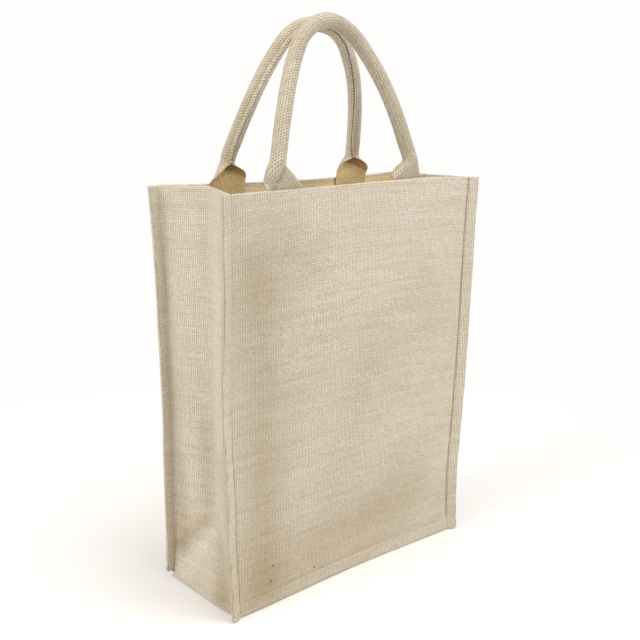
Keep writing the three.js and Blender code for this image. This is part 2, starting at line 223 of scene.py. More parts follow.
def spun(tone, grain, grain_share, span, dull, pale):
    """Colour of the threads: from dull to pale as the mix of grain and tone passes the span."""
    return blend(remap(times_plus(grain, grain_share, times(tone, 1 - grain_share)), *span), dull, pale)


# Painted light: the two inside tints brighten and warm the faces inside the bag, for the jute and for the
# webbing, standing in for the light that comes through the cloth. The shade tint is painted shade and the
# other tint is painted light, both laid on in patches.
PAINTED_INSIDE_LIGHT, PAINTED_WEBBING_INSIDE_LIGHT = (1.46, 1.35, 1.02, 1), (1.34, 1.19, 0.79, 1)
SHADE_TINT, PAINTED_LIGHT_TINT = (0.66, 0.60, 0.47, 1), (1.28, 1.33, 1.42, 1)


def with_painted_light(colour, inside):
    """Painted light and shade. The inside of the bag is painted brighter and warmer, standing in for the
    light that comes through the cloth, and patches of painted shade and painted light make the cloth darker
    or paler. The piece's own values inner, from 0 to 1, and patch, above 0 for painted shade and
    below for painted light, say where."""
    inner, patch = (own_value(colour.id_data, name) for name in ("inner", "patch"))
    colour = blend(inner, colour, inside, "MULTIPLY")
    colour = blend(larger(patch, 0.0), colour, SHADE_TINT, "MULTIPLY")
    return blend(larger(times(patch, -1.0), 0.0), colour, PAINTED_LIGHT_TINT, "MULTIPLY")


print("weave ready")

# %% [markdown]
# ## Jute
# Undyed jute is a pale straw colour, with brown showing in the holes between its threads. Some weft
# threads are slubs, thick and bright, and others run as long, faint streaks. Small dark flecks of
# husk are spun in. The colour drifts slowly over the cloth, and fine hairs blur it, which a little
# sheen and a soft bump give. A range below is what `remap` takes: from low and high to new low and new high.

# %% Jute material
JUTE_PITCH, JUTE_WANDER, JUTE_GRAIN, JUTE_SPAN = (1.87, 1.87), 0.55, 0.45, (0.25, 0.78)
JUTE_THREAD, JUTE_PALE = (0.630, 0.565, 0.452, 1), (0.748, 0.695, 0.588, 1)
JUTE_HOLE, JUTE_SHADE = (0.300, 0.210, 0.118, 1), (0.500, 0.405, 0.270, 1)
HUSK, SLUB = (0.075, 0.050, 0.030, 1), (0.80, 0.74, 0.62, 1)
JUTE_DRIFT = (0.42, 0.70, 0.0, 0.22)
STREAKS_A_METRE, STREAK_SEED = (13.0, 270.0), 23.5
STREAK_DARK, STREAK_PALE = (0.50, 0.72, 0.0, 0.26), (0.50, 0.28, 0.0, 0.34)
SLUB_HALF, SLUB_FADE = (0.0018, 0.0003), 0.012
HOLE_DEPTH, GAP_DEPTH = (0.12, 0.60, 0.85, 0.0), (0.45, 0.95, 0.0, 0.55)
SPECK_CELLS, SPECK_RADIUS, SPECK_CHANCE, SPECK_SHARE = 42.0, (0.035, 0.018), 0.93, 0.6
FLECK_RADIUS = (0.0016, 0.0006, 0.0, 0.85)
JUTE_FINISH, JUTE_BUMP, JUTE_RELIEF = (0.88, 0.12), (0.55, 0.0005), (0.5, 0.25)
DRIFT_NOISE, HAIR_NOISE = (9.0, 3.0), (2200.0, 2.0)


def jute(name, flecks=(), slubs=()):
    """Jute cloth. flecks are places of single dark flecks on the cloth map. slubs are bright weft
    threads: (height on the map, where it starts and ends across, strength). Lengths are in metres."""
    material, tree, shader = new_material(name, *JUTE_FINISH)
    height, tone, grain, gap = weave(tree, JUTE_PITCH, JUTE_WANDER)
    cloth, u, v = cloth_map(tree)
    place = wire(tree, "TexCoord").outputs["Object"]
    colour = spun(tone, grain, JUTE_GRAIN, JUTE_SPAN, JUTE_THREAD, JUTE_PALE)
    colour = blend(remap(noise(place, *DRIFT_NOISE), *JUTE_DRIFT), colour, JUTE_SHADE)
    streak = thread_noise(*(times(at, rate) for at, rate in zip((u, v), STREAKS_A_METRE)), STREAK_SEED, 2.0)
    colour = blend(remap(streak, *STREAK_DARK), colour, JUTE_SHADE)
    colour = blend(remap(streak, *STREAK_PALE), colour, SLUB)
    for level, start, end, strength in slubs:
        thread = remap(size_of(minus(v, level)), *SLUB_HALF)
        span = times(remap(u, start, start + SLUB_FADE), remap(u, end, end - SLUB_FADE))
        colour = blend(times(times(thread, span), strength), colour, SLUB)
    colour = blend(larger(remap(height, *HOLE_DEPTH), remap(gap, *GAP_DEPTH)), colour, JUTE_HOLE)
    cells = wire(tree, "TexVoronoi", {"feature": "F1"}, Vector=place, Scale=SPECK_CELLS, Randomness=1.0)
    chance = wire(tree, "SeparateXYZ", Vector=cells.outputs["Color"]).outputs[0]
    speck = times(remap(cells.outputs["Distance"], *SPECK_RADIUS), more_than(chance, SPECK_CHANCE))
    colour = blend(times(speck, SPECK_SHARE), colour, HUSK)
    for spot in flecks:
        away = wire(tree, "VectorMath", {"operation": "DISTANCE"}, _0=cloth, _1=spot).outputs["Value"]
        colour = blend(remap(away, *FLECK_RADIUS), colour, HUSK)
    hairs = times_plus(noise(place, *HAIR_NOISE), JUTE_RELIEF[1], height)
    finish_cloth(shader, with_painted_light(colour, PAINTED_INSIDE_LIGHT), times_plus(tone, JUTE_RELIEF[0], hairs), *JUTE_BUMP)
    return material


FRONT_FLECKS = [(-0.1087, 0.0396, 0), (-0.1114, 0.0240, 0), (-0.0533, 0.0187, 0)]
FRONT_SLUBS = [(0.262, -0.146, -0.086, 0.45), (0.208, 0.060, 0.137, 0.35), (0.150, -0.070, -0.020, 0.3)]
front_jute = jute("front jute", FRONT_FLECKS, FRONT_SLUBS)
back_jute = jute("back jute")
gusset_jute = jute("gusset jute")
print("jute for", [m.name for m in (front_jute, back_jute, gusset_jute)])

# %% [markdown]
# ## Cotton webbing and thread
# The webbing is a close, thick weave of soft cotton. Its grains stand in slanting rows. The thread
# is cotton, twisted, so that fine slanting stripes run round it: pale for the seams, and dark brown on
# one seam as painted shade, the shadow in its needle holes.

# %% Webbing and thread materials
WEBBING_PITCH, WEBBING_WANDER, WEBBING_SKEW = (2.3, 2.8), 0.12, 0.5
WEBBING_GRAIN, WEBBING_SPAN = 0.3, (0.3, 0.75)
WEBBING_FINISH, WEBBING_BUMP, WEBBING_RELIEF = (0.8, 0.2), (0.7, 0.0006), 0.2
WEBBING_DRIFT_NOISE, WEBBING_HAIR_NOISE = (22.0, 2.0), (2600.0, 2.0)
THREAD_FINISH, THREAD_BUMP, THREAD_STRIPES = (0.7, 0.1), (0.4, 0.0001), 900.0
COTTON, COTTON_PALE = (0.520, 0.448, 0.338, 1), (0.640, 0.573, 0.458, 1)
COTTON_DEEP = (0.240, 0.165, 0.090, 1)
COTTON_DRIFT, GRAIN_DEPTH, DEPTH_INSIDE = (0.4, 0.7, 0.0, 0.15), (0.10, 0.60, 0.9, 0.0), 0.6
THREAD_PALE, THREAD_DEEP = (0.80, 0.73, 0.60, 1), (0.60, 0.50, 0.36, 1)
# Dark browns for the thread whose stitches are painted shade in a seam's needle holes.
HOLE_SHADE_STRIPE, HOLE_SHADE_DEEP = (0.20, 0.135, 0.075, 1), (0.12, 0.08, 0.045, 1)


def webbing_cloth(name):
    """Cotton webbing: a close weave, only a little darker between its grains."""
    material, tree, shader = new_material(name, *WEBBING_FINISH)
    height, tone, grain, _ = weave(tree, WEBBING_PITCH, WEBBING_WANDER, WEBBING_SKEW)
    place = wire(tree, "TexCoord").outputs["Object"]
    colour = spun(tone, grain, WEBBING_GRAIN, WEBBING_SPAN, COTTON, COTTON_PALE)
    colour = blend(remap(noise(place, *WEBBING_DRIFT_NOISE), *COTTON_DRIFT), colour, COTTON_DEEP)
    # Part of the inside's painted light: inside the bag the gaps between the grains are darkened less.
    shallower = remap(own_value(tree, "inner"), 0, 1, 1.0, DEPTH_INSIDE)
    colour = blend(times(remap(height, *GRAIN_DEPTH), shallower), colour, COTTON_DEEP)
    relief = times_plus(noise(place, *WEBBING_HAIR_NOISE), WEBBING_RELIEF, height)
    finish_cloth(shader, with_painted_light(colour, PAINTED_WEBBING_INSIDE_LIGHT), relief, *WEBBING_BUMP)
    return material


def sewing_thread(name, deep, pale):
    """Twisted cotton thread: slanting stripes on its own map, u round it and v along it."""
    material, tree, shader = new_material(name, *THREAD_FINISH)
    stripes = {"bands_direction": "DIAGONAL"}
    twist = wire(tree, "TexWave", stripes, Vector=cloth_map(tree)[0], Scale=THREAD_STRIPES).outputs["Fac"]
    finish_cloth(shader, blend(twist, deep, pale), twist, *THREAD_BUMP)
    return material


cotton = webbing_cloth("cotton webbing")
thread = sewing_thread("sewing thread", THREAD_DEEP, THREAD_PALE)
# The brown thread is painted shade: it stands for the shadow in one seam's needle holes.
hole_shade_thread = sewing_thread("hole shade thread", HOLE_SHADE_DEEP, HOLE_SHADE_STRIPE)
print("cotton materials:", cotton.name, "and", thread.name)

# %% [markdown]
# ## Sheets of cloth from grids of points
# A sheet is a grid of points in rows and columns, in millimetres. `cloth_sheet` takes the outer and
# the inner face of a sheet and joins them round the border. `make_object` turns the faces outward if
# they enclose a negative volume. Each point also gets its place on the flat cloth, for the weave.

# %% Mesh helpers


def unit(vectors):
    """Vectors brought to a length of 1."""
    return vectors / np.maximum(np.linalg.norm(vectors, axis=-1, keepdims=True), 1e-9)


def travelled(line):
    """How far along a line of points each of them lies: the sum of the steps before it."""
    return np.concatenate([[0], np.cumsum(np.linalg.norm(np.diff(line, axis=0), axis=1))])


def volume(points, faces):
    """Enclosed volume: the sum over triangles of a . (b x c) / 6."""
    a, b, c, d = (points[faces[:, k]] for k in range(4))
    return (a * (np.cross(b, c) + np.cross(c, d))).sum() / 6


def make_object(name, points, faces, uv, material, **values):
    """A smooth mesh object from arrays: points and uv in millimetres, faces as rows of four. Each
    further array becomes a value of the mesh's points under its own name."""
    faces = np.ascontiguousarray(faces[:, ::-1] if volume(points, faces) < 0 else faces)
    mesh = bpy.data.meshes.new(name)
    mesh.vertices.add(len(points))
    mesh.vertices.foreach_set("co", (points * MM).ravel())
    mesh.loops.add(faces.size)
    mesh.loops.foreach_set("vertex_index", faces.ravel())
    mesh.polygons.add(len(faces))
    mesh.polygons.foreach_set("loop_start", np.arange(0, faces.size, 4))
    mesh.polygons.foreach_set("use_smooth", np.ones(len(faces), bool))
    mesh.update(calc_edges=True)
    layer = mesh.uv_layers.new(name="cloth")
    layer.data.foreach_set("uv", (uv[faces.ravel()] * MM).ravel())
    for label, numbers in values.items():
        mesh.attributes.new(label, "FLOAT", "POINT").data.foreach_set("value", numbers.astype(np.float32))
    mesh.validate()
    mesh.materials.append(material)
    print(f"{name}: {2 * len(faces)} triangles, {abs(volume(points, faces)) / 1000:.1f} cm3")
    return add_object(name, mesh)


def cloth_sheet(name, faces, maps, material, single=1.0, patch=0.0):
    """A closed sheet from its outer and inner face, two grids, joined round the border. maps holds the
    cloth map of each. single is 1 where the inner face looks into the bag and gets the inside's painted
    light, and patch holds the cloth's patches of painted shade and painted light."""
    rows, columns = faces[0].shape[:2]
    count = rows * columns
    index = np.arange(count).reshape(rows, columns)
    squares = np.stack([index[:-1, :-1], index[1:, :-1], index[1:, 1:], index[:-1, 1:]], -1).reshape(-1, 4)
    edge = np.concatenate([index[0, :-1], index[:-1, -1], index[-1, :0:-1], index[:0:-1, 0]])
    onward = np.roll(edge, -1)
    rim = np.stack([edge, edge + count, onward + count, onward], -1)
    squares = np.concatenate([squares, squares[:, ::-1] + count, rim[:, ::-1]])
    points, places = (np.concatenate([grid.reshape(count, -1) for grid in pair]) for pair in (faces, maps))
    single, patch = (np.broadcast_to(value, (rows, columns)).ravel() for value in (single, patch))
    return make_object(name, points, squares, places, material,
                       inner=np.concatenate([0 * single, single]), patch=np.concatenate([patch, patch]))


def grid_normals(grid):
    """Unit normals of a grid: the cross product of its two directions at each point."""
    return unit(np.cross(np.gradient(grid, axis=1), np.gradient(grid, axis=0)))


print("mesh helpers ready")

# %% [markdown]
# ## Curves through tables
# The bag isn't quite straight anywhere: its seams lean and bow. Each shape is kept as a short table
# and read with a smooth curve, a cubic through the table's points whose slopes come from their
# neighbours. `bell` is a soft bump, 1 in the middle, and `ramp` a soft step from 0 to 1.

# %% Curves


def smooth(places, values, at):
    """Cubic through (place, value): a (1+2t)(1-t)^2 + b t^2 (3-2t) + slopes, t the share of the step."""
    places, values = np.asarray(places, float), np.asarray(values, float)
    at = np.clip(np.asarray(at, float), places[0], places[-1])
    slope = np.gradient(values, places)
    k = np.clip(np.searchsorted(places, at, side="right") - 1, 0, len(places) - 2)
    step = places[k + 1] - places[k]
    t = (at - places[k]) / step
    bend = step * (slope[k] * t * (1 - t) ** 2 - slope[k + 1] * t ** 2 * (1 - t))
    return values[k] * (1 + 2 * t) * (1 - t) ** 2 + values[k + 1] * t ** 2 * (3 - 2 * t) + bend


def ramp(value, low, high):
    """Soft step: 0 below low, 1 above high, t^2 (3 - 2t) between them."""
    t = np.clip((value - low) / (high - low), 0, 1)
    return t * t * (3 - 2 * t)


def bell(value, width):
    """exp(-(value / width)^2), a soft bump."""
    return np.exp(-((value / width) ** 2))


print("a ramp at its middle:", ramp(0.5, 0, 1))

# %% [markdown]
# ## The bag's sizes
# These tables say where the four upright seams run, in millimetres from the middle of the base: x
# along the front, y from front to back, z up. `HALF_DEPTH` is half the bag from front to back. Each
# side seam's cloth is turned outward as a flange, and the splay is how far it turns from its panel.

# %% Sizes
RIM, HEM_DEPTH, BASE_SEAM, FLANGE = 400.0, 35.0, 14.0, 13.0
HEM_FOOT, CREASE_FOOT = RIM - HEM_DEPTH, 68.0
SEAM_Z = [14, 60, 120, 185, 290, 350, 400]
SEAM_X = {
    "front left": [-150, -153.2, -154.9, -159.1, -158.4, -158, -157.7],
    "front right": [147.6, 145.6, 148.3, 151.7, 154.4, 155.5, 157.8],
    "back left": [-147.6, -148.4, -149.6, -151, -155.6, -159.4, -163],
    "back right": [148, 147, 149, 151, 154, 156.5, 158],
}
HALF_DEPTH = [55.9, 55.5, 55, 54.5, 53.6, 53.1, 52.7]
SPLAY = {"front left": 25, "front right": 28, "back left": -15, "back right": 10}
PANELS = {
    "front": {
        "facing": -1, "belly": 3.0, "bow": 4.0, "bow middle": 25,
        "rim x": [-158, -79, 42, 99, 158], "rim rise": [0.4, 1.1, 2.8, 3.3, 0.9],
    },
    "back": {
        "facing": 1, "belly": 3.5, "bow": 3.0, "bow middle": -10,
        "rim x": [-158, -127, 114, 158], "rim rise": [-0.6, -1.7, -2.5, -0.8],
    },
}
INSIDE = 1.5
BOW_FADE, RISE_DEPTH, FLANGE_LEAN = 70.0, 100.0, 1.7


def seam_x(corner, z):
    """Where an upright seam stands at a height."""
    return smooth(SEAM_Z, SEAM_X[corner], z)


def both_seams(side, z):
    """Where a panel's left and right seam stand at a height."""
    return [seam_x(f"{side} {end}", z) for end in ("left", "right")]


def parting_y(side, x, z):
    """Where a panel and the gusset part: half the depth, out by the belly, in by the base seam's bow."""
    panel, (x0, x1) = PANELS[side], both_seams(side, z)
    across = np.clip((x - x0) / (x1 - x0), 0, 1)
    up = np.clip((z - BASE_SEAM) / (HEM_FOOT - BASE_SEAM), 0, 1)
    out = panel["belly"] * np.sin(np.pi * across) * np.sin(np.pi * up)
    middle = np.maximum(1 - ((x - panel["bow middle"]) / (x1 - x0) * 2) ** 2, 0)
    bow = panel["bow"] * middle * 4 * across * (1 - across) * np.maximum(1 - (z - BASE_SEAM) / BOW_FADE, 0)
    return panel["facing"] * (smooth(SEAM_Z, HALF_DEPTH, z) + out - bow - INSIDE)


def rim_rise(side, x):
    """How far a panel's rim rises over its height at the seams."""
    return smooth(PANELS[side]["rim x"], PANELS[side]["rim rise"], x)


def risen(rise, z):
    """A height moved by the rim's rise, faded out below the rim."""
    return z + rise * np.clip((z - RIM + RISE_DEPTH) / RISE_DEPTH, 0, 1)


def on_parting(side, x, z, lift=0.0):
    """Points of a panel's parting surface, or a lift outside it."""
    y = parting_y(side, x, z) + PANELS[side]["facing"] * lift
    return np.stack([x, y, risen(rim_rise(side, x), z)], -1)


print("seams from", BASE_SEAM, "to", RIM, "mm")

# %% [markdown]
# ## Flanges
# Panel and gusset are sewn with their edges turned outward, so that each seam stands out as a
# stiff double strip, the flange. Both cloths of a flange follow the same surface, one on each side.
# A flange waves a little, and its lower corners are round. A place on it is given by how far it is
# out from the side seam and how far it drops below the base seam.

# %% Flange shape
CORNER_RADIUS = 4.5
WAVES = {"front left": 0.3, "front right": 1.7, "back left": 2.9, "back right": 4.1}
LONG_WAVE, SHORT_WAVE = (0.35, 23), (0.12, 9.7)
EAR_LIFT = {"front left": 0.0, "front right": 0.0, "back left": 6.0, "back right": 2.0}
EDGE_STEPS = np.array([13, 12.95, 12.8, 12.5, 12.1, 11.3, 9.5, 7.5, 5.5, 3.8, 2.6, 1.8, 1.2, 0.8, 0.4])


def flange_step(corner, z, out, drop):
    """From the seam to a place on its flange: out times its splayed direction, plus a wave, plus
    the drop, which leans outward a little and is lifted at the ear of some corners."""
    side, turn = corner.split()[0], math.radians(SPLAY[corner])
    outward = -1 if corner.endswith("left") else 1
    facing, phase = PANELS[side]["facing"], WAVES[corner]
    along = np.array([outward * math.cos(turn), facing * math.sin(turn), 0])
    square = np.array([-outward * math.sin(turn), facing * math.cos(turn), 0])
    (long, length), (short, shorter) = LONG_WAVE, SHORT_WAVE
    wave = long * np.sin(z / length + phase) + short * np.sin(z / shorter + 2 * phase)
    step = out[..., None] * along + (wave * out / FLANGE)[..., None] * square
    lifted = EAR_LIFT[corner] * np.minimum(out / FLANGE * 2, 1) * drop / BASE_SEAM
    return step + np.stack([0 * drop, facing * FLANGE_LEAN * drop / BASE_SEAM, lifted - drop], -1)


def round_corner(out, drop):
    """Rounds the flange's square lower corner: within its last few millimetres a square of side 1
    is pressed into a quarter circle, (x, y) going to (x sqrt(1 - y^2/2), y sqrt(1 - x^2/2))."""
    x = np.clip((out - FLANGE + CORNER_RADIUS) / CORNER_RADIUS, 0, 1)
    y = np.clip((drop - BASE_SEAM + CORNER_RADIUS) / CORNER_RADIUS, 0, 1)
    nearer_x = CORNER_RADIUS * (x * np.sqrt(1 - y * y / 2) - x)
    nearer_y = CORNER_RADIUS * (y * np.sqrt(1 - x * x / 2) - y)
    return out + nearer_x, drop + nearer_y


print("flange columns:", len(EDGE_STEPS))

# %% [markdown]
# ## Both faces of a cloth
# Panels and gusset share their make-up. The field is a single cloth, the flanges and the hem are
# double, and the stitching draws the cloth in. So two distances from the parting surface, near and
# far, are all that a cloth needs. Its edges are round, and the cloth map runs on round them, so that
# the weave isn't pulled out there. Creases are soft troughs and ridges, each along its own line.

# %% Faces and folds
NEAR_FACE, FAR_FACE, HEM_LAYER, FLANGE_SWELL, GROOVE_INSIDE, STITCH_INSIDE = 0.55, 1.5, 1.55, 0.28, 0.25, 0.2
HEM_STITCH_Z, HEM_STITCH_WIDTH, FLANGE_START = 370.0, 0.9, (0.2, 1.4)
RIM_RADIUS, HEM_RADIUS = 1.0, 0.3
WRAP, WRAP_SPAN, WRAP_RADIUS, PLY_SHORT, PLY_RADIUS, TURN_BACK = 1.5, (0.55, 0.9), 1.2, 0.4, 4.5, 1.5


def hemmed(z, inside, from_seam, hem_start, stitch_start):
    """Where a cloth is doubled by its hem and drawn in by the hem's stitches, inside its seams. Both
    fade in over a range of distances from the seam."""
    hem = ramp(z, HEM_FOOT - 1, HEM_FOOT + 1) * ramp(from_seam, *hem_start) * inside
    return hem, bell(z - HEM_STITCH_Z, HEM_STITCH_WIDTH) * ramp(from_seam, *stitch_start) * inside


def face_distances(flange, hem, groove, stitched, groove_depth, stitch_depth):
    """How far the inner and the outer face lie from the parting surface."""
    near = NEAR_FACE - NEAR_FACE * flange - HEM_LAYER * hem - GROOVE_INSIDE * groove
    far = FAR_FACE + FLANGE_SWELL * flange - groove_depth * groove - stitch_depth * stitched
    return near + STITCH_INSIDE * stitched, far


def round_edge(distance, radius):
    """Thickness near a rounded edge: sqrt(1 - (1 - d)^2), with d the distance in radii up to 1."""
    d = np.clip(distance / radius, 0, 1)
    return np.sqrt(np.maximum(1 - (1 - d) ** 2, 0))


def round_off(near, far, kept, to_edge, radius, to_rim, hem):
    """Rounds a sheet's edge and its rim: both faces close in on its middle, but where kept is 1 only the
    outer face closes in on the inner one, so that the two cloths of a flange stay together."""
    edge = np.minimum(round_edge(to_edge, radius), round_edge(to_rim, RIM_RADIUS + HEM_RADIUS * hem))
    middle = near + (far - near) * (1 - kept) / 2
    return middle + (near - middle) * edge, middle + (far - middle) * edge


def round_edge_map(distance, half):
    """How far the cloth map shifts beside an edge, for the outer and the inner face, so that it runs
    on round the edge. The arc from the edge's tip is taken as sqrt(distance^2 + half^2), with half
    the half thickness there; a little way in the inner face's map turns back."""
    turned = np.minimum(distance, TURN_BACK)
    return distance - np.hypot(distance, half), turned + np.hypot(turned, half)


def below_rim(z):
    """1 inside the bag, fading to 0 on the rim's own edge, which the light reaches."""
    return 1 - ramp(z, RIM - 6, RIM - 1)


def folds(grid, creases):
    """Soft troughs and ridges: each lies along a line from one point to another and is
    height exp(-(distance / width)^2) high."""
    push = np.zeros(grid.shape[:2])
    for start, end, width, height in creases:
        start, line = np.array(start, float), np.array(end, float) - np.array(start, float)
        along = np.clip(((grid - start) @ line) / (line @ line), 0, 1)
        away = np.linalg.norm(grid - start - along[..., None] * line, axis=-1)
        push += height * bell(away, width)
    return push


def both_faces(grid, normal, near, far, push):
    """The outer and the inner face: along the normals from the grid, both moved by the push."""
    return [grid + normal * (distance + push)[..., None] for distance in (far, near)]


print("a cloth is", FAR_FACE - NEAR_FACE, "mm thick")

# %% [markdown]
# ## The front and back panels
# A panel is one sheet: flange, field and flange across, and lower flange, field and hem upward. First
# its parting surface is laid out as a grid, with close steps beside the seams, the hem and the rim.

# %% Panel grid
FIELD_STEPS, RISE_STEPS = 118, 132
NEAR_SEAM = np.array([0, 0.4, 0.8, 1.3, 2.0, 3.2, 5.0])
FIELD_SPAN = 300.0


def edge_to_edge(span, steps):
    """Places across a span: close together beside both ends, even in between."""
    inner = np.linspace(NEAR_SEAM[-1], span - NEAR_SEAM[-1], steps + 1)
    return np.concatenate([NEAR_SEAM[:-1], inner, span - NEAR_SEAM[-2::-1]])


def panel_places():
    """Columns as (out on the flange with its sign, share of the field); rows as (drop, height)."""
    share = edge_to_edge(FIELD_SPAN, FIELD_STEPS) / FIELD_SPAN
    out = np.concatenate([-EDGE_STEPS, 0 * share, EDGE_STEPS[::-1]])
    share = np.concatenate([0 * EDGE_STEPS, share, 0 * EDGE_STEPS + 1])
    height = BASE_SEAM + edge_to_edge(RIM - BASE_SEAM, RISE_STEPS)
    fine = [HEM_FOOT - 1, HEM_FOOT, HEM_FOOT + 1, HEM_STITCH_Z - 0.6, HEM_STITCH_Z, HEM_STITCH_Z + 0.6,
            RIM - 0.2, RIM - 0.08]
    height = np.unique(np.round(np.concatenate([height, fine]), 3))
    drops = EDGE_STEPS * BASE_SEAM / FLANGE
    return out, share, np.concatenate([drops, 0 * height]), np.concatenate([0 * drops + BASE_SEAM, height])


def panel_surface(side):
    """The parting surface of a panel as a grid, with each point's place for the folds below."""
    out, share, drop, height = panel_places()
    out, drop = np.meshgrid(out, drop)
    share, z = np.meshgrid(share, height)
    x0, x1 = both_seams(side, z)
    x = x0 + (x1 - x0) * share
    outs, drops = round_corner(np.abs(out), drop)
    left, right = (flange_step(f"{side} {end}", z, outs, drops) for end in ("left", "right"))
    grid = on_parting(side, x, z) + np.where((share < 0.5)[..., None], left, right)
    return grid, x, z, out, drop, share


print("panel grid:", panel_surface("front")[0].shape)

# %% [markdown]
# ## The panels' cloth
# Along each seam the stitching draws the cloth in to a groove. Behind the hem the flat ends of the
# handles push it out a little. At its flanges' outer edges the panel's cloth wraps over the gusset's.
# A range with START in its name says over which millimetres, from an edge or up from the floor,
# something sets in. The normals are turned outward by the one at a sample point of the field.

# %% Panel cloth
WEBBING_WIDTH, WEBBING_THICKNESS, WEBBING_PUSH = 44.0, 1.6, 0.45
FLAT_X = {"front": (-93.7, 68.1), "back": (-85.3, 81.7)}
SIDE_GROOVE, BASE_GROOVE, BASE_GROOVE_DEPTH, LOOSE_SEAM = 1.3, 1.2, 0.7, 0.8
PANEL_GROOVE_DEPTH, PANEL_STITCH_DEPTH, ARCH_HALF = 0.95, 0.25, 175.0
FIELD_SAMPLE = slice(60, 61)
PANEL_HEM_START, PANEL_STITCH_START, ARCH_START = (9, 11), (6, 10), (30, 120)
GROOVE_START, BASE_GROOVE_START, LOOSE_START = (12, 16), (2, 6), (150, 230)
SIDE_PUSH_START, BASE_PUSH_START = (0, 8), (0, 10)
SEAM_SHADE_START, BASE_SHADE_START = (16, 30), (3, 9)


def pressed(side, x, z):
    """The two flat ends of the handle, sewn behind the hem, show as low, soft-edged raised strips."""
    off = np.minimum(np.abs(x - FLAT_X[side][0]), np.abs(x - FLAT_X[side][1]))
    beside = ramp(off, WEBBING_WIDTH / 2 - 1.5, WEBBING_WIDTH / 2 + 2)
    return WEBBING_PUSH * (1 - beside) * ramp(z, HEM_STITCH_Z - 6, HEM_STITCH_Z - 2)


def panel(side, material, creases, patches, arch):
    """The panel's cloth. arch is how far the weft bows up in the middle of the panel."""
    grid, x, z, out, drop, share = panel_surface(side)
    normal = grid_normals(grid)
    normal *= np.sign(normal[FIELD_SAMPLE, FIELD_SAMPLE, 1:2]) * PANELS[side]["facing"]
    x0, x1 = both_seams(side, z)
    inside, left_half = out == 0, share < 0.5
    from_seam = np.minimum(x - x0, x1 - x)
    from_side = np.where(inside, from_seam, np.abs(out))
    from_base = np.where(drop > 0, drop, z - BASE_SEAM)
    flange = ~inside * ramp(np.abs(out), *FLANGE_START) + (drop > 0) * ramp(drop, *FLANGE_START)
    flange = np.clip(flange, 0, 1)
    tight = np.where(left_half & (side == "front"), 1 - LOOSE_SEAM * ramp(z, *LOOSE_START), 1)
    side_groove, base_groove = bell(from_side, SIDE_GROOVE), bell(from_base, BASE_GROOVE)
    groove = np.maximum(side_groove * ramp(z, *GROOVE_START) * tight,
                        BASE_GROOVE_DEPTH * base_groove * ramp(from_side, *BASE_GROOVE_START))
    hem, stitched = hemmed(z, inside, from_seam, PANEL_HEM_START, PANEL_STITCH_START)
    near, far = face_distances(flange, hem, groove, stitched, PANEL_GROOVE_DEPTH, PANEL_STITCH_DEPTH)
    to_edge = np.minimum(FLANGE - np.abs(out), (BASE_SEAM - drop) * (drop > 0) + FLANGE * (drop == 0))
    near -= WRAP * (1 - ramp(to_edge, *WRAP_SPAN)) * flange
    near, far = round_off(near, far, 0, to_edge, WRAP_RADIUS, RIM - z, hem)
    push = pressed(side, x, z) + folds(grid, creases)
    push = push * ramp(from_side, *SIDE_PUSH_START) * (drop == 0) * inside
    push = push * ramp(from_base, *BASE_PUSH_START)
    half, maps = (far - near) / 2, []
    to_edges = (FLANGE - np.abs(out), BASE_SEAM - drop, RIM - z)
    bowed = arch * (1 - (x / ARCH_HALF) ** 2) * ramp(z, *ARCH_START)
    for at_side, at_base, at_rim in zip(*(round_edge_map(distance, half) for distance in to_edges)):
        u = x + out + np.sign(out) * at_side
        v = z - drop - (drop > 0) * at_base + at_rim - bowed
        maps.append(np.stack([u, v], -1))
    # Painted shade: darker along the seam grooves, along the base groove and on the flange's wrapped left
    # edge.
    shade = np.where(left_half, *SEAM_SHADE[side]) * side_groove * ramp(z, *SEAM_SHADE_START) * tight
    shade = shade + BASE_SHADE * base_groove * ramp(from_side, *BASE_SHADE_START)
    shade = shade + EDGE_SHADE[side] * bell(to_edge, EDGE_SHADE_WIDTH) * (x < 0)
    # The cloth gets the inside's painted light where it looks into the bag, and its patches of painted shade
    # and painted light.
    return cloth_sheet(f"{side} cloth", both_faces(grid, normal, near, far, push), maps, material,
                       (1 - flange) * below_rim(z), folds(grid, patches) + shade)


SEAM_SHADE = {"front": (0.25, 0.95), "back": (0.4, 0.4)}
BASE_SHADE, EDGE_SHADE, EDGE_SHADE_WIDTH = 0.15, {"front": 0.4, "back": 0}, 0.7
FRONT_CREASES = [
    ((-128, -56, 60), (-120, -57, 330), 22, -1.1),
    ((-60, -57, 200), (-40, -57, 350), 26, 0.6),
    ((40, -56, 90), (120, -57, 130), 20, 0.7),
    ((60, -57, 250), (130, -56, 330), 24, -0.6),
    ((-100, -56, 40), (40, -55, 50), 12, -0.5),
]
BACK_CREASES = [
    ((-110, 56, 90), (-60, 57, 300), 24, -1.0),
    ((50, 57, 60), (110, 56, 310), 26, 0.8),
    ((-40, 57, 160), (40, 57, 200), 18, -0.6),
]
# Patches of painted shade (above 0) and painted light (below 0) on the front, each along a line.
FRONT_PAINTED_SHADING = [
    ((-128, -56, 330), (-118, -56, 30), 26, 0.5),
    ((-110, -56, 20), (60, -56, 70), 42, 0.44),
    ((-150, -56, 20), (-150, -56, 60), 30, 0.2),
    ((-30, -57, 100), (20, -57, 240), 30, 0.14),
    ((-60, -56, 385), (140, -56, 385), 22, -0.22),
    ((-10, -57, 320), (120, -57, 340), 34, -0.14),
    ((-90, -56, 345), (-62, -56, 330), 13, 0.25),
]
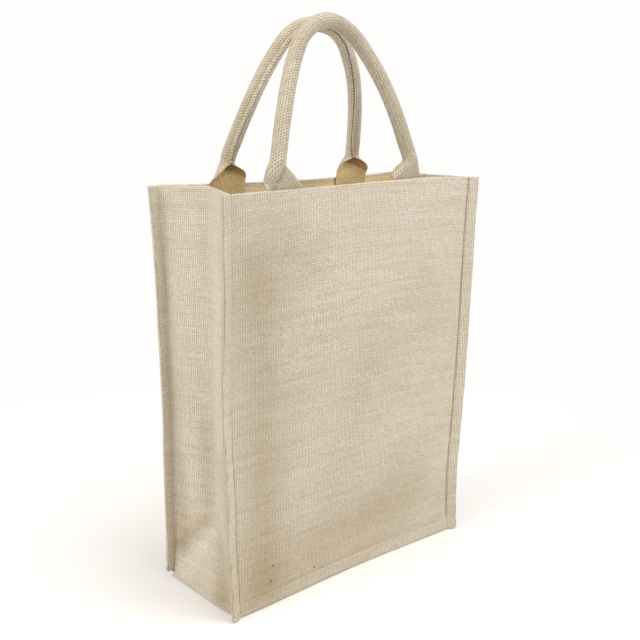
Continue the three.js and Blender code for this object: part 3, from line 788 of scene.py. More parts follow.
# Patches of painted shade (above 0) and painted light (below 0) on the back.
BACK_PAINTED_SHADING = [
    ((-110, 56, 40), (90, 56, 60), 40, 0.3),
    ((100, 57, 330), (120, 56, 120), 26, 0.25),
    ((-90, 56, 385), (90, 56, 385), 24, -0.2),
]
front_cloth = panel("front", front_jute, FRONT_CREASES, FRONT_PAINTED_SHADING, 7.0)
back_cloth = panel("back", back_jute, BACK_CREASES, BACK_PAINTED_SHADING, 4.0)

# %% [markdown]
# ## The gusset
# The gusset is one strip. On each side it is pushed in along a centre crease, so seen from above it
# is a V. Near the base the crease parts into two diagonals and the cloth between them slopes out
# to the base's edge. Each row of the grid crosses the strip from the front seam to the back seam.
# The grid's squares are laid so that the two diagonals run through their corners.

# %% Gusset walls and base
CREASES = {
    "left": {"x": [-132, -133.6, -134.9, -137], "y": [4, 4, 5, 8]},
    "right": {"x": [130.5, 133.5, 136, 138.5], "y": [1, 2, 2, 3]},
}
CREASE_Z = [68, 185, 290, 400]
BULGE_Z = [14, 68, 200, 330, 400]
BULGE = {"front": [0, 1.5, 3, 1.5, 0], "back": [0, 2.5, 4.5, 3, 0]}
CREASE_RISE, FOLD_BOW, FOLD_RADIUS, SLOPE_RUN = 1.0, 5.5, 1.6, 5.0
HALF, SIDE_STEPS, BASE_STEPS, FAN = 30, 118, 104, 11
PEAK, STEEP_BACK, FOLD_POWERS = 0.36, 2.5, (6, 16)


def base_height(points, front, back):
    """The base rises from the floor to its seams over the last millimetres before them, and starts
    later at the back seam."""
    from_front, from_back = (np.abs(points[..., 1] - seam[..., 1]) for seam in (front, back))
    inward = np.minimum(from_front, STEEP_BACK * from_back)
    return BASE_SEAM + (INSIDE - BASE_SEAM) * np.clip(inward / SLOPE_RUN, 0, 1)


def gusset_wall(end, z):
    """Rows of one side at heights z. share runs 0 at a seam to 1 at the crease; below the crease
    foot the wall is cut off at the diagonals, which move out to the seams as z falls."""
    outward, z = -1 if end == "left" else 1, z[:, None]
    front, back = (on_parting(side, seam_x(f"{side} {end}", z), z) for side in ("front", "back"))
    crease = [smooth(CREASE_Z, CREASES[end][axis], np.maximum(z, CREASE_FOOT)) for axis in "xy"]
    crease = np.stack([*crease, risen(CREASE_RISE, z)], -1)
    down = np.clip((CREASE_FOOT - z) / (CREASE_FOOT - BASE_SEAM), 0, 1)
    count = np.arange(2 * HALF + 1)[None, :] / HALF
    share, in_front = 1 - np.abs(count - 1), count <= 1
    seam = np.where(in_front[..., None], front, back)
    swell = np.where(in_front, *(smooth(BULGE_Z, BULGE[side], z) for side in ("front", "back")))
    run = unit((crease - seam) * [1, 1, 0])
    run_x, run_y = run[..., 0], run[..., 1]
    square = outward * np.stack([np.abs(run_y), -np.sign(run_y) * run_x, 0 * run_x], -1)
    wall = seam + (crease - seam) * np.minimum(share, 1 - down)[..., None]
    reach = np.clip(share / np.maximum(1 - down, 1e-6), 0, 1)
    pillow = ramp(reach, 0, PEAK) * (1 - (np.maximum(reach - PEAK, 0) / (1 - PEAK)) ** 2)
    wall += square * (swell * (1 - down) * pillow)[..., None]
    ends = [seam + (crease - seam) * (1 - down)[..., None] for seam in (front, back)]
    span = np.clip((count - (1 - down)) / np.maximum(2 * down, 1e-6), 0, 1)
    between = ends[0] + (ends[1] - ends[0]) * span[..., None]
    wall = np.where((share > 1 - down)[..., None], between, wall)
    bow = 1 - (1 - share) ** np.where(in_front, *FOLD_POWERS)
    wall[..., 0] += outward * FOLD_BOW * down ** 2 * bow
    wall[..., 2] += (base_height(wall, front, back) - wall[..., 2]) * down ** 2
    return wall


def gusset_base(x_share):
    """Rows of the base, between facing points of the two base seams."""
    rows = []
    for side in ("front", "back"):
        x0, x1 = (x + inset for x, inset in zip(both_seams(side, BASE_SEAM), (FOLD_RADIUS, -FOLD_RADIUS)))
        x = x0 + (x1 - x0) * x_share
        rows.append(on_parting(side, x, np.full_like(x, BASE_SEAM))[:, None, :])
    share = (np.arange(2 * HALF + 1) / (2 * HALF))[None, :, None]
    base = rows[0] + (rows[1] - rows[0]) * share
    base[..., 2] = base_height(base, *rows)
    return base


print("a row of the gusset has", 2 * HALF + 1, "points between its seams")

# %% [markdown]
# ## The gusset's strip
# The rows run from the left rim down the left side, under the base and up the right side. At the two
# lower edges some rows in between fan the flanges round from pointing out to hanging down.

# %% Gusset strip
SOFTEN_PASSES, SOFTEN_SHARE = 6, 0.35


def soften(grid):
    """Rounds sharp creases: in each pass every inner point moves about a third of the way to the mean
    of its four neighbours."""
    for _ in range(SOFTEN_PASSES):
        inner = grid[1:-1, 1:-1]
        around = (grid[:-2, 1:-1] + grid[2:, 1:-1] + grid[1:-1, :-2] + grid[1:-1, 2:]) / 4
        grid[1:-1, 1:-1] = inner + SOFTEN_SHARE * (around - inner)
    return grid


def gusset_rows():
    """The strip's wall points, with how far each row's flanges point out and hang down, its height
    and its side of the bag: -1 left, 0 the base and 1 right."""
    foot = BASE_SEAM + (CREASE_FOOT - BASE_SEAM) * np.arange(1, HALF + 1) / HALF
    above = np.linspace(CREASE_FOOT, RIM, SIDE_STEPS + 1)[1:]
    extra = [HEM_FOOT - 1, HEM_FOOT, HEM_FOOT + 1, RIM - 0.08, RIM - 0.2, RIM - 0.6, RIM - 1.2]
    z = np.unique(np.round(np.concatenate([[BASE_SEAM + FOLD_RADIUS], foot, above, extra]), 3))
    fan = np.arange(1, FAN + 1) / (FAN + 1)
    base = gusset_base(np.linspace(0, 1, BASE_STEPS + 1))
    left, right = gusset_wall("left", z)[::-1], gusset_wall("right", z)
    turns = [a + (b - a) * fan[:, None, None] for a, b in ((left[-1:], base[:1]), (base[-1:], right[:1]))]
    slant = np.tan(fan * math.pi / 2)
    out, drop = np.minimum(1, 1 / slant), np.minimum(1, slant)
    up, turn, under = 0 * z, 0 * fan, 0 * base[:, 0, 0]
    outs = np.concatenate([up + 1, out, under, out[::-1], up + 1])
    drops = np.concatenate([up, drop, under + 1, drop[::-1], up])
    heights = np.concatenate([z[::-1], turn + BASE_SEAM, under + BASE_SEAM, turn + BASE_SEAM, z])
    sides = np.concatenate([up - 1, turn - 1, under, turn + 1, up + 1])
    return np.concatenate([left, turns[0], base, turns[1], right]), outs, drops, heights, sides


def gusset_surface():
    """The whole grid: front flange, wall and back flange. On the sides a flange points out along its
    seam's splay, under the base it hangs down, and at the corners it fans round from one to the other."""
    wall, outs, drops, heights, sides = gusset_rows()
    wall, flanges = soften(wall), []
    for side, order, seam in (("front", 1, wall[:, :1]), ("back", -1, wall[:, -1:])):
        steps = EDGE_STEPS[::order] * (1 - PLY_SHORT / FLANGE)
        out, drop = round_corner(outs[:, None] * steps, drops[:, None] * steps * BASE_SEAM / FLANGE)
        z = heights[:, None] + 0 * out
        ends = [flange_step(f"{side} {end}", z, out, drop) for end in ("left", "right")]
        flanges.append(seam + np.where((sides <= 0)[:, None, None], *ends))
    return np.concatenate([flanges[0], wall, flanges[1]], 1), heights, sides


print("gusset grid:", gusset_surface()[0].shape)

# %% [markdown]
# ## The gusset's cloth
# The gusset gets its thickness as the panels did. On its outer face the valley beside each back
# seam is filled up a little, and no point goes below the floor. A sample point of the left wall
# says which way the normals face.

# %% Gusset cloth
GUSSET_GROOVE, GUSSET_GROOVE_DEPTH, GUSSET_STITCH_DEPTH = 1.0, 0.2, 0.45
GUSSET_HEM_START, GUSSET_STITCH_START, GUSSET_PUSH_START = (1, 3), (3, 6), (0, 10)
WALL_SAMPLE_ROW, WALL_SAMPLE_COLUMN = 60, -8


def gusset(material, creases, patches):
    """The gusset's cloth, one layer in the walls and the base, double in the flanges and the hems. Its
    cloth map counts along the grid: u from the middle of each row and v from the left rim."""
    grid, heights, sides = gusset_surface()
    normal, count, edge = grid_normals(grid), grid.shape[1], len(EDGE_STEPS)
    middle = count // 2
    across, along = (np.linalg.norm(np.diff(grid, axis=axis), axis=-1) for axis in (1, 0))
    u = np.concatenate([np.zeros((len(grid), 1)), np.cumsum(across, 1)], 1)
    u -= u[:, middle:middle + 1]
    v = np.concatenate([[0], np.cumsum(along[:, edge:-edge].mean(1))])[:, None] + 0 * u
    out = np.concatenate([EDGE_STEPS, np.zeros(count - 2 * edge), EDGE_STEPS[::-1]]) + 0 * u
    inside, level = out == 0, heights[:, None] + 0 * u
    from_seam = np.minimum(u - u[:, edge:edge + 1], u[:, -edge - 1:-edge] - u)
    from_seam = np.where(inside, from_seam, out)
    flange, groove = ramp(out, *FLANGE_START), bell(from_seam, GUSSET_GROOVE)
    hem, stitched = hemmed(level, inside, from_seam, GUSSET_HEM_START, GUSSET_STITCH_START)
    near, far = face_distances(flange, hem, groove, stitched, GUSSET_GROOVE_DEPTH, GUSSET_STITCH_DEPTH)
    far += VALLEY_FILL * (u > 0) * (level > BASE_SEAM + 1) * bell(from_seam, VALLEY_WIDTH)
    near, far = round_off(near, far, flange, FLANGE - out, PLY_RADIUS, RIM - level, hem)
    push = folds(grid, creases) * ramp(from_seam, *GUSSET_PUSH_START) * inside * (sides != 0)[:, None]
    outward = -1 if normal[WALL_SAMPLE_ROW, middle + WALL_SAMPLE_COLUMN, 0] > 0 else 1
    faces = both_faces(grid, outward * normal, near, far, push)
    faces[0][..., 2] = np.maximum(faces[0][..., 2], 0)
    onward = np.where(sides <= 0, -1, 1)[:, None]
    maps = [np.stack([u, v + onward * shift], -1) for shift in round_edge_map(RIM - level, (far - near) / 2)]
    # The cloth gets the inside's painted light where it looks into the bag, and its patches of painted shade
    # and painted light.
    return cloth_sheet("gusset cloth", faces, maps, material, (1 - flange) * below_rim(level),
                       folds(grid, patches))


VALLEY_FILL, VALLEY_WIDTH = 1.3, 3.2
GUSSET_CREASES = [
    ((-134, 2, 72), (-149, 52, 20), 5, 0.9),
    ((-152, -50, 40), (-142, -6, 12), 5, 0.8),
    ((-146, 30, 70), (-148, 34, 380), 8, 1.0),
    ((-137, 14, 80), (-140, 16, 300), 7, -1.0),
    ((150, -25, 80), (150, -28, 330), 9, 0.7),
    ((146, 40, 45), (140, 0, 14), 5, 0.8),
]
# Patches of painted shade (above 0) and painted light (below 0) on the gusset: the back valley, the fold's
# diagonals and the walls.
GUSSET_PAINTED_SHADING = [
    ((-150, 50, 20), (-151.5, 50, 200), 6, 0.2),
    ((-151.5, 50, 200), (-163, 50, 390), 6, 0.12),
    ((-158, 52, 20), (-159, 52, 140), 6, -0.3),
    ((-160, 51, 140), (-172, 50, 390), 6, -0.25),
    ((-146, 41, 30), (-147, 41, 130), 9, 0.26),
    ((-146, 39, 40), (-148, 40, 200), 7, 0.2),
    ((-148, 40, 200), (-152, 42, 380), 6, 0.08),
    ((-144, 22, 90), (-146, 22, 380), 8, -0.12),
    ((-137, 12, 90), (-138, 13, 170), 8, 0.4),
    ((-136, 12, 74), (-147, 47, 36), 6, 0.5),
    ((-135.5, 4, 60), (-148.5, 49, 9), 4.5, -0.32),
    ((-139, 12, 40), (-151, 34, 6), 7, -0.28),
    ((-144, -16, 50), (-151, -28, 8), 13, 0.62),
    ((-150, -42, 12), (-156, -44, 150), 13, 0.48),
    ((-156, -46, 150), (-157, -46, 330), 10, 0.16),
    ((-141, -18, 200), (-146, -20, 390), 12, -0.18),
    ((152, 54, 20), (156, 54, 380), 10, 0.6),
    ((146, -10, 60), (150, -12, 380), 12, 0.2),
]
gusset_cloth = gusset(gusset_jute, GUSSET_CREASES, GUSSET_PAINTED_SHADING)

# %% [markdown]
# ## The handles
# A handle is a flat strip of webbing. Its two ends stay flat and are sewn inside the hem; between
# them it is rolled until its edges overlap, which makes a round handle with a seam along it. The
# strip is carried along the handle's path, which goes up one leg and down the other.

# %% Handle path
HANDLE_MIDDLE = {"front": -14.4, "back": 0.2}
FLAT_FOOT, FLAT_OVER, FLAT_BEHIND = 366.5, 0.5, 2.6
FLAT_SHARES = np.array([0, 0.5, 0.87, 1])
ARCH = {
    "front": {
        "z": [418, 440, 470, 500, 520, 535, 545.5, 551.3],
        "half": [86.2, 80.9, 71, 58, 46.3, 35, 21, 0],
        "y": [-46.3, -41.7, -35.5, -27.6, -21.4, -17, -14.8, -13.6],
        "roll": (26, 19),
    },
    "back": {
        "z": [418, 440, 470, 500, 520, 535, 544, 549.6],
        "half": [84.1, 79.5, 71.2, 59.8, 48.6, 37.4, 25.5, 0],
        "y": [50.6, 44.2, 34.9, 26.8, 22.6, 20, 18.8, 17.8],
        "roll": (19, 21),
    },
}
CROWDING, PATH_STEPS, FINE_STEPS = 0.048, 250, 4000


def on_line(at, run, values):
    """Values along a line, read where it has run a given length."""
    return np.stack([np.interp(at, run, values[:, k]) for k in range(3)], -1)


def flat_length(side, leg):
    """The sewn flat, from its foot to just over the rim at this leg."""
    return float(RIM + rim_rise(side, FLAT_X[side][leg]) + FLAT_OVER - FLAT_FOOT)


def handle_path(side):
    """The middle of the webbing as points: up one leg and down the other."""
    arch, middle, legs = ARCH[side], HANDLE_MIDDLE[side], []
    for leg, outward in ((0, -1), (1, 1)):
        flat_z = FLAT_FOOT + FLAT_SHARES * flat_length(side, leg)
        x = np.full(len(FLAT_SHARES), FLAT_X[side][leg])
        y = parting_y(side, x, flat_z) - PANELS[side]["facing"] * FLAT_BEHIND
        rise = np.stack([middle + outward * np.array(arch["half"]), arch["y"], arch["z"]], -1)
        legs.append(np.concatenate([np.stack([x, y, flat_z], -1), rise]))
    return np.concatenate([legs[0], legs[1][-2::-1]])


def along_path(points, count):
    """Stations on a smooth curve through the points, closer together at its ends and its top: with s
    the share of the count, at the share s - k sin(4 pi s) of the length. Places, unit directions and
    lengths along the curve."""
    reach = travelled(points)
    fine = np.linspace(0, reach[-1], FINE_STEPS)
    curve = np.stack([smooth(reach, points[:, k], fine) for k in range(3)], -1)
    run, share = travelled(curve), np.linspace(0, 1, count)
    at = run[-1] * (share - CROWDING * np.sin(4 * math.pi * share))
    place = on_line(at, run, curve)
    return place, unit(np.gradient(place, axis=0)), at


for side in ("front", "back"):
    print(side, "handle's path:", round(along_path(handle_path(side), PATH_STEPS)[2][-1]), "mm")

# %% [markdown]
# ## Rolling the webbing
# The webbing's two edges curl in first: at a closure of c the middle share 1 - c is still flat, and
# the rest on either side is bent to an arc of the tube's own radius. Each edge closes in its own
# way at each foot, and the back handle is twisted too.

# %% Webbing frame and section
HALF_TURN = 1.06 * math.pi
ROLL_POWER = {"front": ((0.55, 0.55), (0.55, 0.55)), "back": ((0.6, 1.1), (1.1, 1.1))}
TUBE_RADIUS = WEBBING_WIDTH / 2 / HALF_TURN
TWIST, TWIST_RUN = {"front": (0, 0), "back": (-45, 58)}, 50.0


def twisted(side, from_left, from_right):
    """How far the tube is twisted about its path, growing with the distance from either flat."""
    left, right = (math.radians(angle) for angle in TWIST[side])
    share = from_left / (from_left + from_right)
    return (left + (right - left) * share) * ramp(from_left, 0, TWIST_RUN) * ramp(from_right, 0, TWIST_RUN)


def webbing_frame(side):
    """Stations, directions across and inward at each, how far either edge has rolled in there, a
    share of the roll's run to a power of its own at each foot, and the lengths along the path."""
    place, ahead, at = along_path(handle_path(side), PATH_STEPS)
    first_half, (left, right) = at < at[-1] / 2, ARCH[side]["roll"]
    from_left, from_right = at - flat_length(side, 0), at[-1] - at - flat_length(side, 1)
    rolled = np.clip(np.minimum(from_left / left, from_right / right), 0, 1)
    closed = rolled[:, None] ** np.where(first_half[:, None], *ROLL_POWER[side])
    upright = np.where(first_half, 1, -1)[:, None] * np.array([0, 0, 1])
    ahead = unit(upright + (ahead - upright) * ramp(rolled, 0, 1)[:, None])
    inside = np.array([0.0, -PANELS[side]["facing"], 0.0])
    inward = unit(inside - ahead * (ahead @ inside)[:, None])
    across, twist = np.cross(ahead, inward), twisted(side, from_left, from_right)[:, None]
    turned = across * np.cos(twist) - inward * np.sin(twist)
    return place, turned, inward * np.cos(twist) + across * np.sin(twist), closed, at


def curled(closed, share, lip):
    """Section of the webbing: across, inward and outward direction of each point. closed holds both
    edges' closure c in its last axis. The flat middle reaches a = (1 - c) W / 2; beyond it the angle
    is (distance - a) / R. The depth of its centroid, 2 R^2 (angle - sin angle) / W as the mean of
    both edges, is taken off so that the path runs through the centroid."""
    last = closed * HALF_TURN
    centroid = (2 * TUBE_RADIUS ** 2 * (last - np.sin(last)) / WEBBING_WIDTH).mean(-1, keepdims=True)
    reach = np.abs(share) * WEBBING_WIDTH / 2
    flat = (1 - np.where(share < 0, closed[..., :1], closed[..., 1:])) * WEBBING_WIDTH / 2
    angle = np.maximum(reach - flat, 0) / TUBE_RADIUS
    radius = TUBE_RADIUS + lip
    across = np.minimum(reach, flat) + radius * np.sin(angle)
    inward = TUBE_RADIUS - centroid - radius * np.cos(angle)
    return np.sign(share) * across, inward, np.sign(share) * np.sin(angle), -np.cos(angle)


print("radius of the rolled handle:", round(TUBE_RADIUS, 2), "mm")

# %% [markdown]
# ## The handles' cloth
# Each station of the path gets a section of the webbing, and the sections together are the sheet. Its
# long edges and its two ends are thinner and round. The creases and the patches of painted shade and
# painted light lie on the flat strip, as places (across, along).

# %% Handle cloth
WEB_STEPS = 44
LIP_RISE, LIP_WIDTH, LIP_START = (1.4, -0.7), 2.6, 0.8
EDGE_THIN, EDGE_RADIUS, END_THIN, END_RADIUS = 0.35, 1.0, 0.1, 0.8


def handle(side, material, creases, patches):
    """The webbing as a sheet: at each station a section that curls in from its edges. Where the roll
    is closed one edge lies over the other."""
    place, across, inward, closed, at = webbing_frame(side)
    share = np.linspace(-1, 1, WEB_STEPS + 1)[None, :]
    edge, end = (1 - np.abs(share)) * WEBBING_WIDTH / 2, np.minimum(at, at[-1] - at)
    lip = np.where(share < 0, *LIP_RISE) * bell(edge, LIP_WIDTH)
    lip = lip * ramp(closed.min(-1, keepdims=True), LIP_START, 1)
    sideways, deep, out_across, out_inward = curled(closed, share, lip)
    thick = WEBBING_THICKNESS / 2 * (EDGE_THIN + (1 - EDGE_THIN) * round_edge(edge, EDGE_RADIUS))
    thick = thick * (END_THIN + (1 - END_THIN) * round_edge(end, END_RADIUS))[:, None]
    flat = np.stack([WEBBING_WIDTH / 2 * share + 0 * at[:, None], at[:, None] + 0 * share], -1)
    level = np.concatenate([flat, 0 * flat[..., :1]], -1)
    push, faces = folds(level, creases), []
    for lift in (push + thick, push - thick):
        x, y = sideways + lift * out_across, deep + lift * out_inward
        faces.append(place[:, None] + across[:, None] * x[..., None] + inward[:, None] * y[..., None])
    return cloth_sheet(f"{side} handle", faces, [flat, flat], material, patch=folds(level, patches))


FRONT_HANDLE_CREASES = [((-8, 57, 0), (8, 42, 0), 2.2, -1.5), ((2, 60, 0), (14, 46, 0), 4.0, 0.7)]
# Patches of painted shade on the front handle: the crease's shadow and its fading end, and a slight shade
# along the middle.
FRONT_HANDLE_PAINTED_SHADING = [
    ((-8, 56, 0), (7, 43, 0), 1.8, 0.9),
    ((7, 43, 0), (15, 35, 0), 2.0, 0.4),
    ((0, 70, 0), (0, 400, 0), 14, 0.08),
]
BACK_HANDLE_CREASES = [((-14, 47, 0), (-3, 58, 0), 3.0, -0.5)]
# Patches of painted shade and light on the back handle: shade beside the seam's lip, a painted highlight on
# its ridge, and painted light on the far side of the lip and along the middle.
BACK_HANDLE_PAINTED_SHADING = [
    ((-18, 60, 0), (-18, 405, 0), 1.6, 0.35), ((-21.5, 60, 0), (-21.5, 405, 0), 1.6, -0.9),
    ((19, 55, 0), (19, 190, 0), 1.1, 0.4),
    ((0, 60, 0), (0, 405, 0), 14, -0.14), ((16, 60, 0), (16, 200, 0), 5, -0.7),
    ((16, 250, 0), (16, 405, 0), 6, -0.7), ((-15, 250, 0), (-15, 405, 0), 5, -0.5),
]
front_handle = handle("front", cotton, FRONT_HANDLE_CREASES, FRONT_HANDLE_PAINTED_SHADING)
back_handle = handle("back", cotton, BACK_HANDLE_CREASES, BACK_HANDLE_PAINTED_SHADING)

# %% [markdown]
# ## Stitching
# Each stitch is a short piece of thread that comes up, arches over the cloth and goes down again.
# A row of stitches is made in one go: every stitch is a small tube of a few rings on the line that
# it follows, thick in the middle and sunk at both ends.

# %% Stitches
RINGS, SPOKES, THIN_END, THREAD_MAP = 5, 6, 0.45, (0.3, 0.6)
STITCH_COVER, STITCH_LIFT, STITCH_RADIUS = 0.78, 0.12, 0.32
CAPS = np.array([[0, 5, 4, 1], [1, 4, 3, 2]])


def stitch_row(line, normals, pitch, cover=STITCH_COVER, lift=STITCH_LIFT, radius=STITCH_RADIUS):
    """Tubes along a line of points, each of which covers a share of the pitch. Along a stitch t goes 0
    to 1, its middle is raised by lift sin(pi t), it is sunk by one radius at its ends, and its radius
    is r (0.45 + 0.55 sin(pi t))."""
    run = travelled(line)
    count = max(int(run[-1] / pitch), 1)
    start = (np.arange(count) + 0.5 * (1 - cover)) * run[-1] / count
    t = np.linspace(0, 1, RINGS)
    at = start[:, None] + cover * run[-1] / count * t
    centre = on_line(at, run, line)
    up = unit(on_line(at, run, np.broadcast_to(normals, line.shape)))
    beside = np.cross(unit(centre[:, -1:] - centre[:, :1]) + 0 * up, up)
    arch = np.sin(np.pi * t)
    centre = centre + up * (lift * arch - radius * (1 - arch))[None, :, None]
    thickness = radius * (THIN_END + (1 - THIN_END) * arch)
    angle = 2 * np.pi * np.arange(SPOKES) / SPOKES
    round_it = beside[:, :, None] * np.cos(angle)[:, None] + up[:, :, None] * np.sin(angle)[:, None]
    return centre[:, :, None] + round_it * thickness[None, :, None, None]


def stitch_faces(count):
    """Faces of count tubes: rings joined by squares, both ends closed by folded squares."""
    ring = np.arange(RINGS * SPOKES).reshape(RINGS, SPOKES)
    turned = np.roll(ring, -1, axis=1)
    walls = np.stack([ring[:-1], turned[:-1], turned[1:], ring[1:]], -1).reshape(-1, 4)
    one = np.concatenate([walls, CAPS, CAPS[:, ::-1] + SPOKES * (RINGS - 1)])
    return (one[None] + RINGS * SPOKES * np.arange(count)[:, None, None]).reshape(-1, 4)


def sew(name, rows, material):
    """All rows of a piece's stitches as one mesh."""
    tubes = np.concatenate(rows)
    ring, spoke = np.meshgrid(np.arange(RINGS), np.arange(SPOKES), indexing="ij")
    uv = np.stack([spoke * THREAD_MAP[0], ring * THREAD_MAP[1]], -1).reshape(-1, 2)
    uv = np.tile(uv, (len(tubes), 1))
    return make_object(name, tubes.reshape(-1, 3), stitch_faces(len(tubes)), uv, material)


print("a stitch has", 2 * len(stitch_faces(1)), "triangles")

# %% [markdown]
# ## Where the seams are sewn
# The side seams are sewn close beside the flange, on the panel's outer face. The lower seam runs
# along the base, and one line holds the hem. Three sides of the box round each flat end of the
# handles show on the outside too.

# %% Seam lines
SEAM_PITCH, HEM_PITCH, BOX_TOP, BOX_HALF, BOX_STEPS = 3.4, 3.8, 396.0, 19.0, 12
ON_SEAM, ON_HEM, ON_FLAT_END = 0.95, 1.12, 1.9
UP_SEAM = np.linspace(BASE_SEAM + 3, RIM - 4, 90)
LEVEL_SEAMS = [(BASE_SEAM, 2, 90, ON_SEAM, SEAM_PITCH), (HEM_STITCH_Z, 4, 120, ON_HEM, HEM_PITCH)]


def flat_end_lines(middle):
    """Lines that hold a flat end, as (x, z): the sides and the top of a box, its foot and its cross."""
    t, low, high = np.linspace(0, 1, BOX_STEPS), HEM_STITCH_Z, BOX_TOP
    left, right = middle - BOX_HALF, middle + BOX_HALF
    corners = [((left, low), (left, high)), ((right, low), (right, high)), ((left, high), (right, high)),
               ((left, low), (right, low)), ((left, low), (right, high)), ((left, high), (right, low))]
    return [tuple(a + (b - a) * t for a, b in zip(*line)) for line in corners]


def panel_stitches(side):
    """Rows for one panel: two side seams, the base seam, the hem and the handles' flat ends, each a
    lift outside the parting surface."""
    lines = [(x, UP_SEAM, ON_SEAM, SEAM_PITCH) for x in both_seams(side, UP_SEAM)]
    for z, inset, count, lift, pitch in LEVEL_SEAMS:
        x0, x1 = both_seams(side, z)
        x = np.linspace(x0 + inset, x1 - inset, count)
        lines.append((x, 0 * x + z, lift, pitch))
    for middle in FLAT_X[side]:
        lines += [(x, z, ON_FLAT_END, SEAM_PITCH) for x, z in flat_end_lines(middle)[:3]]
    outward = [0, PANELS[side]["facing"], 0]
    return [stitch_row(on_parting(side, x, z, lift), outward, pitch) for x, z, lift, pitch in lines]


front_stitches = sew("front stitches", panel_stitches("front"), thread)
back_stitches = sew("back stitches", panel_stitches("back"), thread)

# %% [markdown]
# ## Sewing the handles
# The handles are sewn to the hem round their flat ends, with a cross inside the box, and along the
# seam of their rolled middle. On one leg of the back handle that seam's stitches are dark brown: painted
# shade for the shadow in the needle holes.

# %% Handle seams
ROLL_PITCH, ROLL_COVER, ROLL_LIFT, ROLL_RADIUS, CLOSED = 3.3, 0.62, 0.2, 0.7, 0.999


def handle_seam(side, share, sunk, begin, end):
    """Stitches along the rolled handle's seam, at a share of the webbing's half width, from one share
    of the handle's length to another."""
    place, across, inward, closed, at = webbing_frame(side)
    run = at / at[-1]
    here = (closed.min(-1) > CLOSED) & (run >= begin) & (run <= end)
    sideways, deep, out_across, out_inward = curled(np.ones(2), np.array([share]), sunk)
    normal = across * out_across + inward * out_inward
    line = place + across * sideways + inward * deep + WEBBING_THICKNESS / 2 * normal
    return stitch_row(line[here], normal[here], ROLL_PITCH, ROLL_COVER, ROLL_LIFT, ROLL_RADIUS)


def handle_stitches(side):
    """The box and cross that hold each flat end to the hem, on the webbing's inner face."""
    rows, facing = [], PANELS[side]["facing"]
    for x, z in [line for middle in FLAT_X[side] for line in flat_end_lines(middle)]:
        y = parting_y(side, x, z) - facing * (FLAT_BEHIND + WEBBING_THICKNESS / 2)
        rows.append(stitch_row(np.stack([x, y, z], -1), [0, -facing, 0], SEAM_PITCH))
    return rows


front_handle_rows = [handle_seam("front", -0.86, 0.4, 0, 1), *handle_stitches("front")]
front_handle_stitches = sew("front handle stitches", front_handle_rows, thread)
back_handle_rows = [handle_seam("back", -0.95, 1.2, 0, 0.45), *handle_stitches("back")]
back_handle_stitches = sew("back handle stitches", back_handle_rows, thread)
# The stitches in brown thread on the back handle's right leg are painted shade for the shadow in the needle
# holes.
hole_shade_stitches = sew("brown handle stitches", [handle_seam("back", 0.85, -0.2, 0.48, 1)], hole_shade_thread)

# %% [markdown]
# ## Each piece on the bag's body
# Every piece rides on the bag's one body and stands for its solid. Each cloth is listed with the size
# that it was cut to.

# %% Ride and replace
PANEL_CUT, GUSSET_CUT, WEBBING_CUT = (0.368, 0.452), (0.176, 1.160), (0.044, 0.455)
PIECES = [
    (front_cloth, "front_panel", "jute_cloth", [front_stitches], PANEL_CUT),
    (back_cloth, "back_panel", "jute_cloth", [back_stitches], PANEL_CUT),
    (gusset_cloth, "gusset", "jute_cloth", [], GUSSET_CUT),
    (front_handle, "handle_front", "cotton_webbing", [front_handle_stitches], WEBBING_CUT),
    (back_handle, "handle_back", "cotton_webbing", [back_handle_stitches, hole_shade_stitches], WEBBING_CUT),
]
for piece, node, slot, sewing, cut in PIECES:
    for part in [piece, *sewing]:
        part.name = part.data.name = part.name.replace(" ", "_")
        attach(part, "root")
    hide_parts(node)
print(len(PIECES), "cloths declared")

# %% [markdown]
# ## Floor and light
# The bag stands on a plain pale floor, which fades into the bright background further out. Soft square
# lights from the left, from above and from the right in front, and a bright sky all round, keep the
# shadows soft, as in a photographer's light tent. The sky lights the bag less than it shows itself.

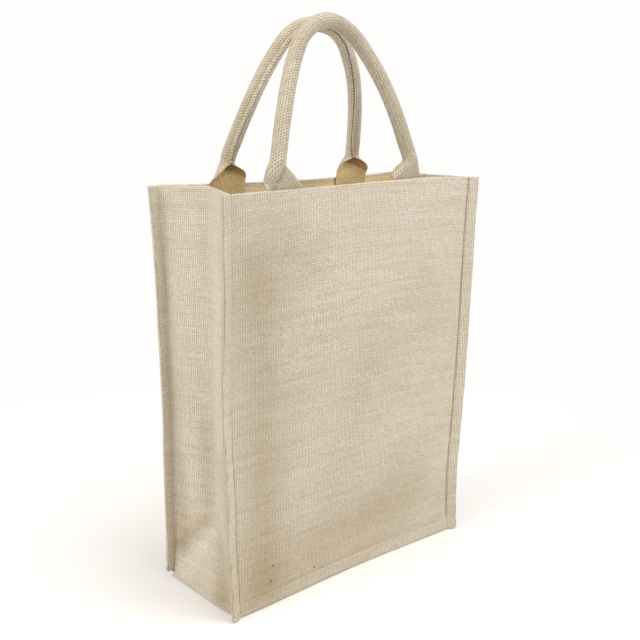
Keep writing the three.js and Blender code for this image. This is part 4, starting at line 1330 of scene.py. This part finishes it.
# %% Floor and light
SKY, SKY_STRENGTH, SKY_LIGHT = (1.0, 0.992, 0.985, 1), 1.0, 0.60
FLOOR_HALF, FLOOR_Z, FLOOR_FADE = 40, -0.0004, (0.22, 0.80)
FLOOR_COLOUR, FLOOR_FINISH = (0.93, 0.91, 0.89, 1), (0.9, 0.0)
floor_mesh = bpy.data.meshes.new("floor")
floor_corners = [(x * FLOOR_HALF, y * FLOOR_HALF, FLOOR_Z) for x, y in ((-1, -1), (1, -1), (1, 1), (-1, 1))]
floor_mesh.from_pydata(floor_corners, [], [(0, 1, 2, 3)])
floor = add_object("floor", floor_mesh)
floor_material, floor_tree, floor_shader = new_material("pale floor", *FLOOR_FINISH)
floor_shader.inputs["Base Color"].default_value = FLOOR_COLOUR
floor_place = wire(floor_tree, "TexCoord").outputs["Object"]
floor_away = wire(floor_tree, "VectorMath", {"operation": "LENGTH"}, _0=floor_place).outputs["Value"]
floor_glow = wire(floor_tree, "Emission", Color=SKY, Strength=SKY_STRENGTH).outputs[0]
floor_look = wire(floor_tree, "MixShader", _0=remap(floor_away, *FLOOR_FADE),
                  _1=floor_shader.outputs[0], _2=floor_glow).outputs[0]
floor_tree.links.new(floor_look, floor_tree.nodes["Material Output"].inputs["Surface"])
floor_mesh.materials.append(floor_material)


def soft_light(name, place, target, size, power, colour):
    """A square light that shines from a place towards a target; the bigger, the softer."""
    data = bpy.data.lights.new(name, "AREA")
    data.size, data.energy, data.color = size, power, colour
    back = unit(np.array(place, float) - np.array(target, float))
    side = unit(np.cross([0, 0, 1], back))
    stand(add_object(name, data), place, side, np.cross(back, side), back)


soft_light("left light", (-1.7, 0.1, 1.5), (0, 0, 0.25), 0.9, 20, (1.0, 0.985, 0.96))
soft_light("top light", (0.2, -0.5, 2.2), (0, 0, 0.3), 1.0, 21, (1.0, 0.985, 0.96))
soft_light("right light", (1.3, -2.0, 1.3), (0, 0, 0.25), 1.0, 14, (1.0, 0.99, 0.97))
world = bpy.data.worlds.new("sky")
world.use_nodes = True
sky = world.node_tree.nodes["Background"]
sky.inputs["Color"].default_value = SKY
seen = wire(world.node_tree, "LightPath").outputs["Is Camera Ray"]
world.node_tree.links.new(remap(seen, 0, 1, SKY_LIGHT, SKY_STRENGTH), sky.inputs["Strength"])
bpy.context.scene.world = world
bpy.context.scene.view_settings.view_transform = "Standard"
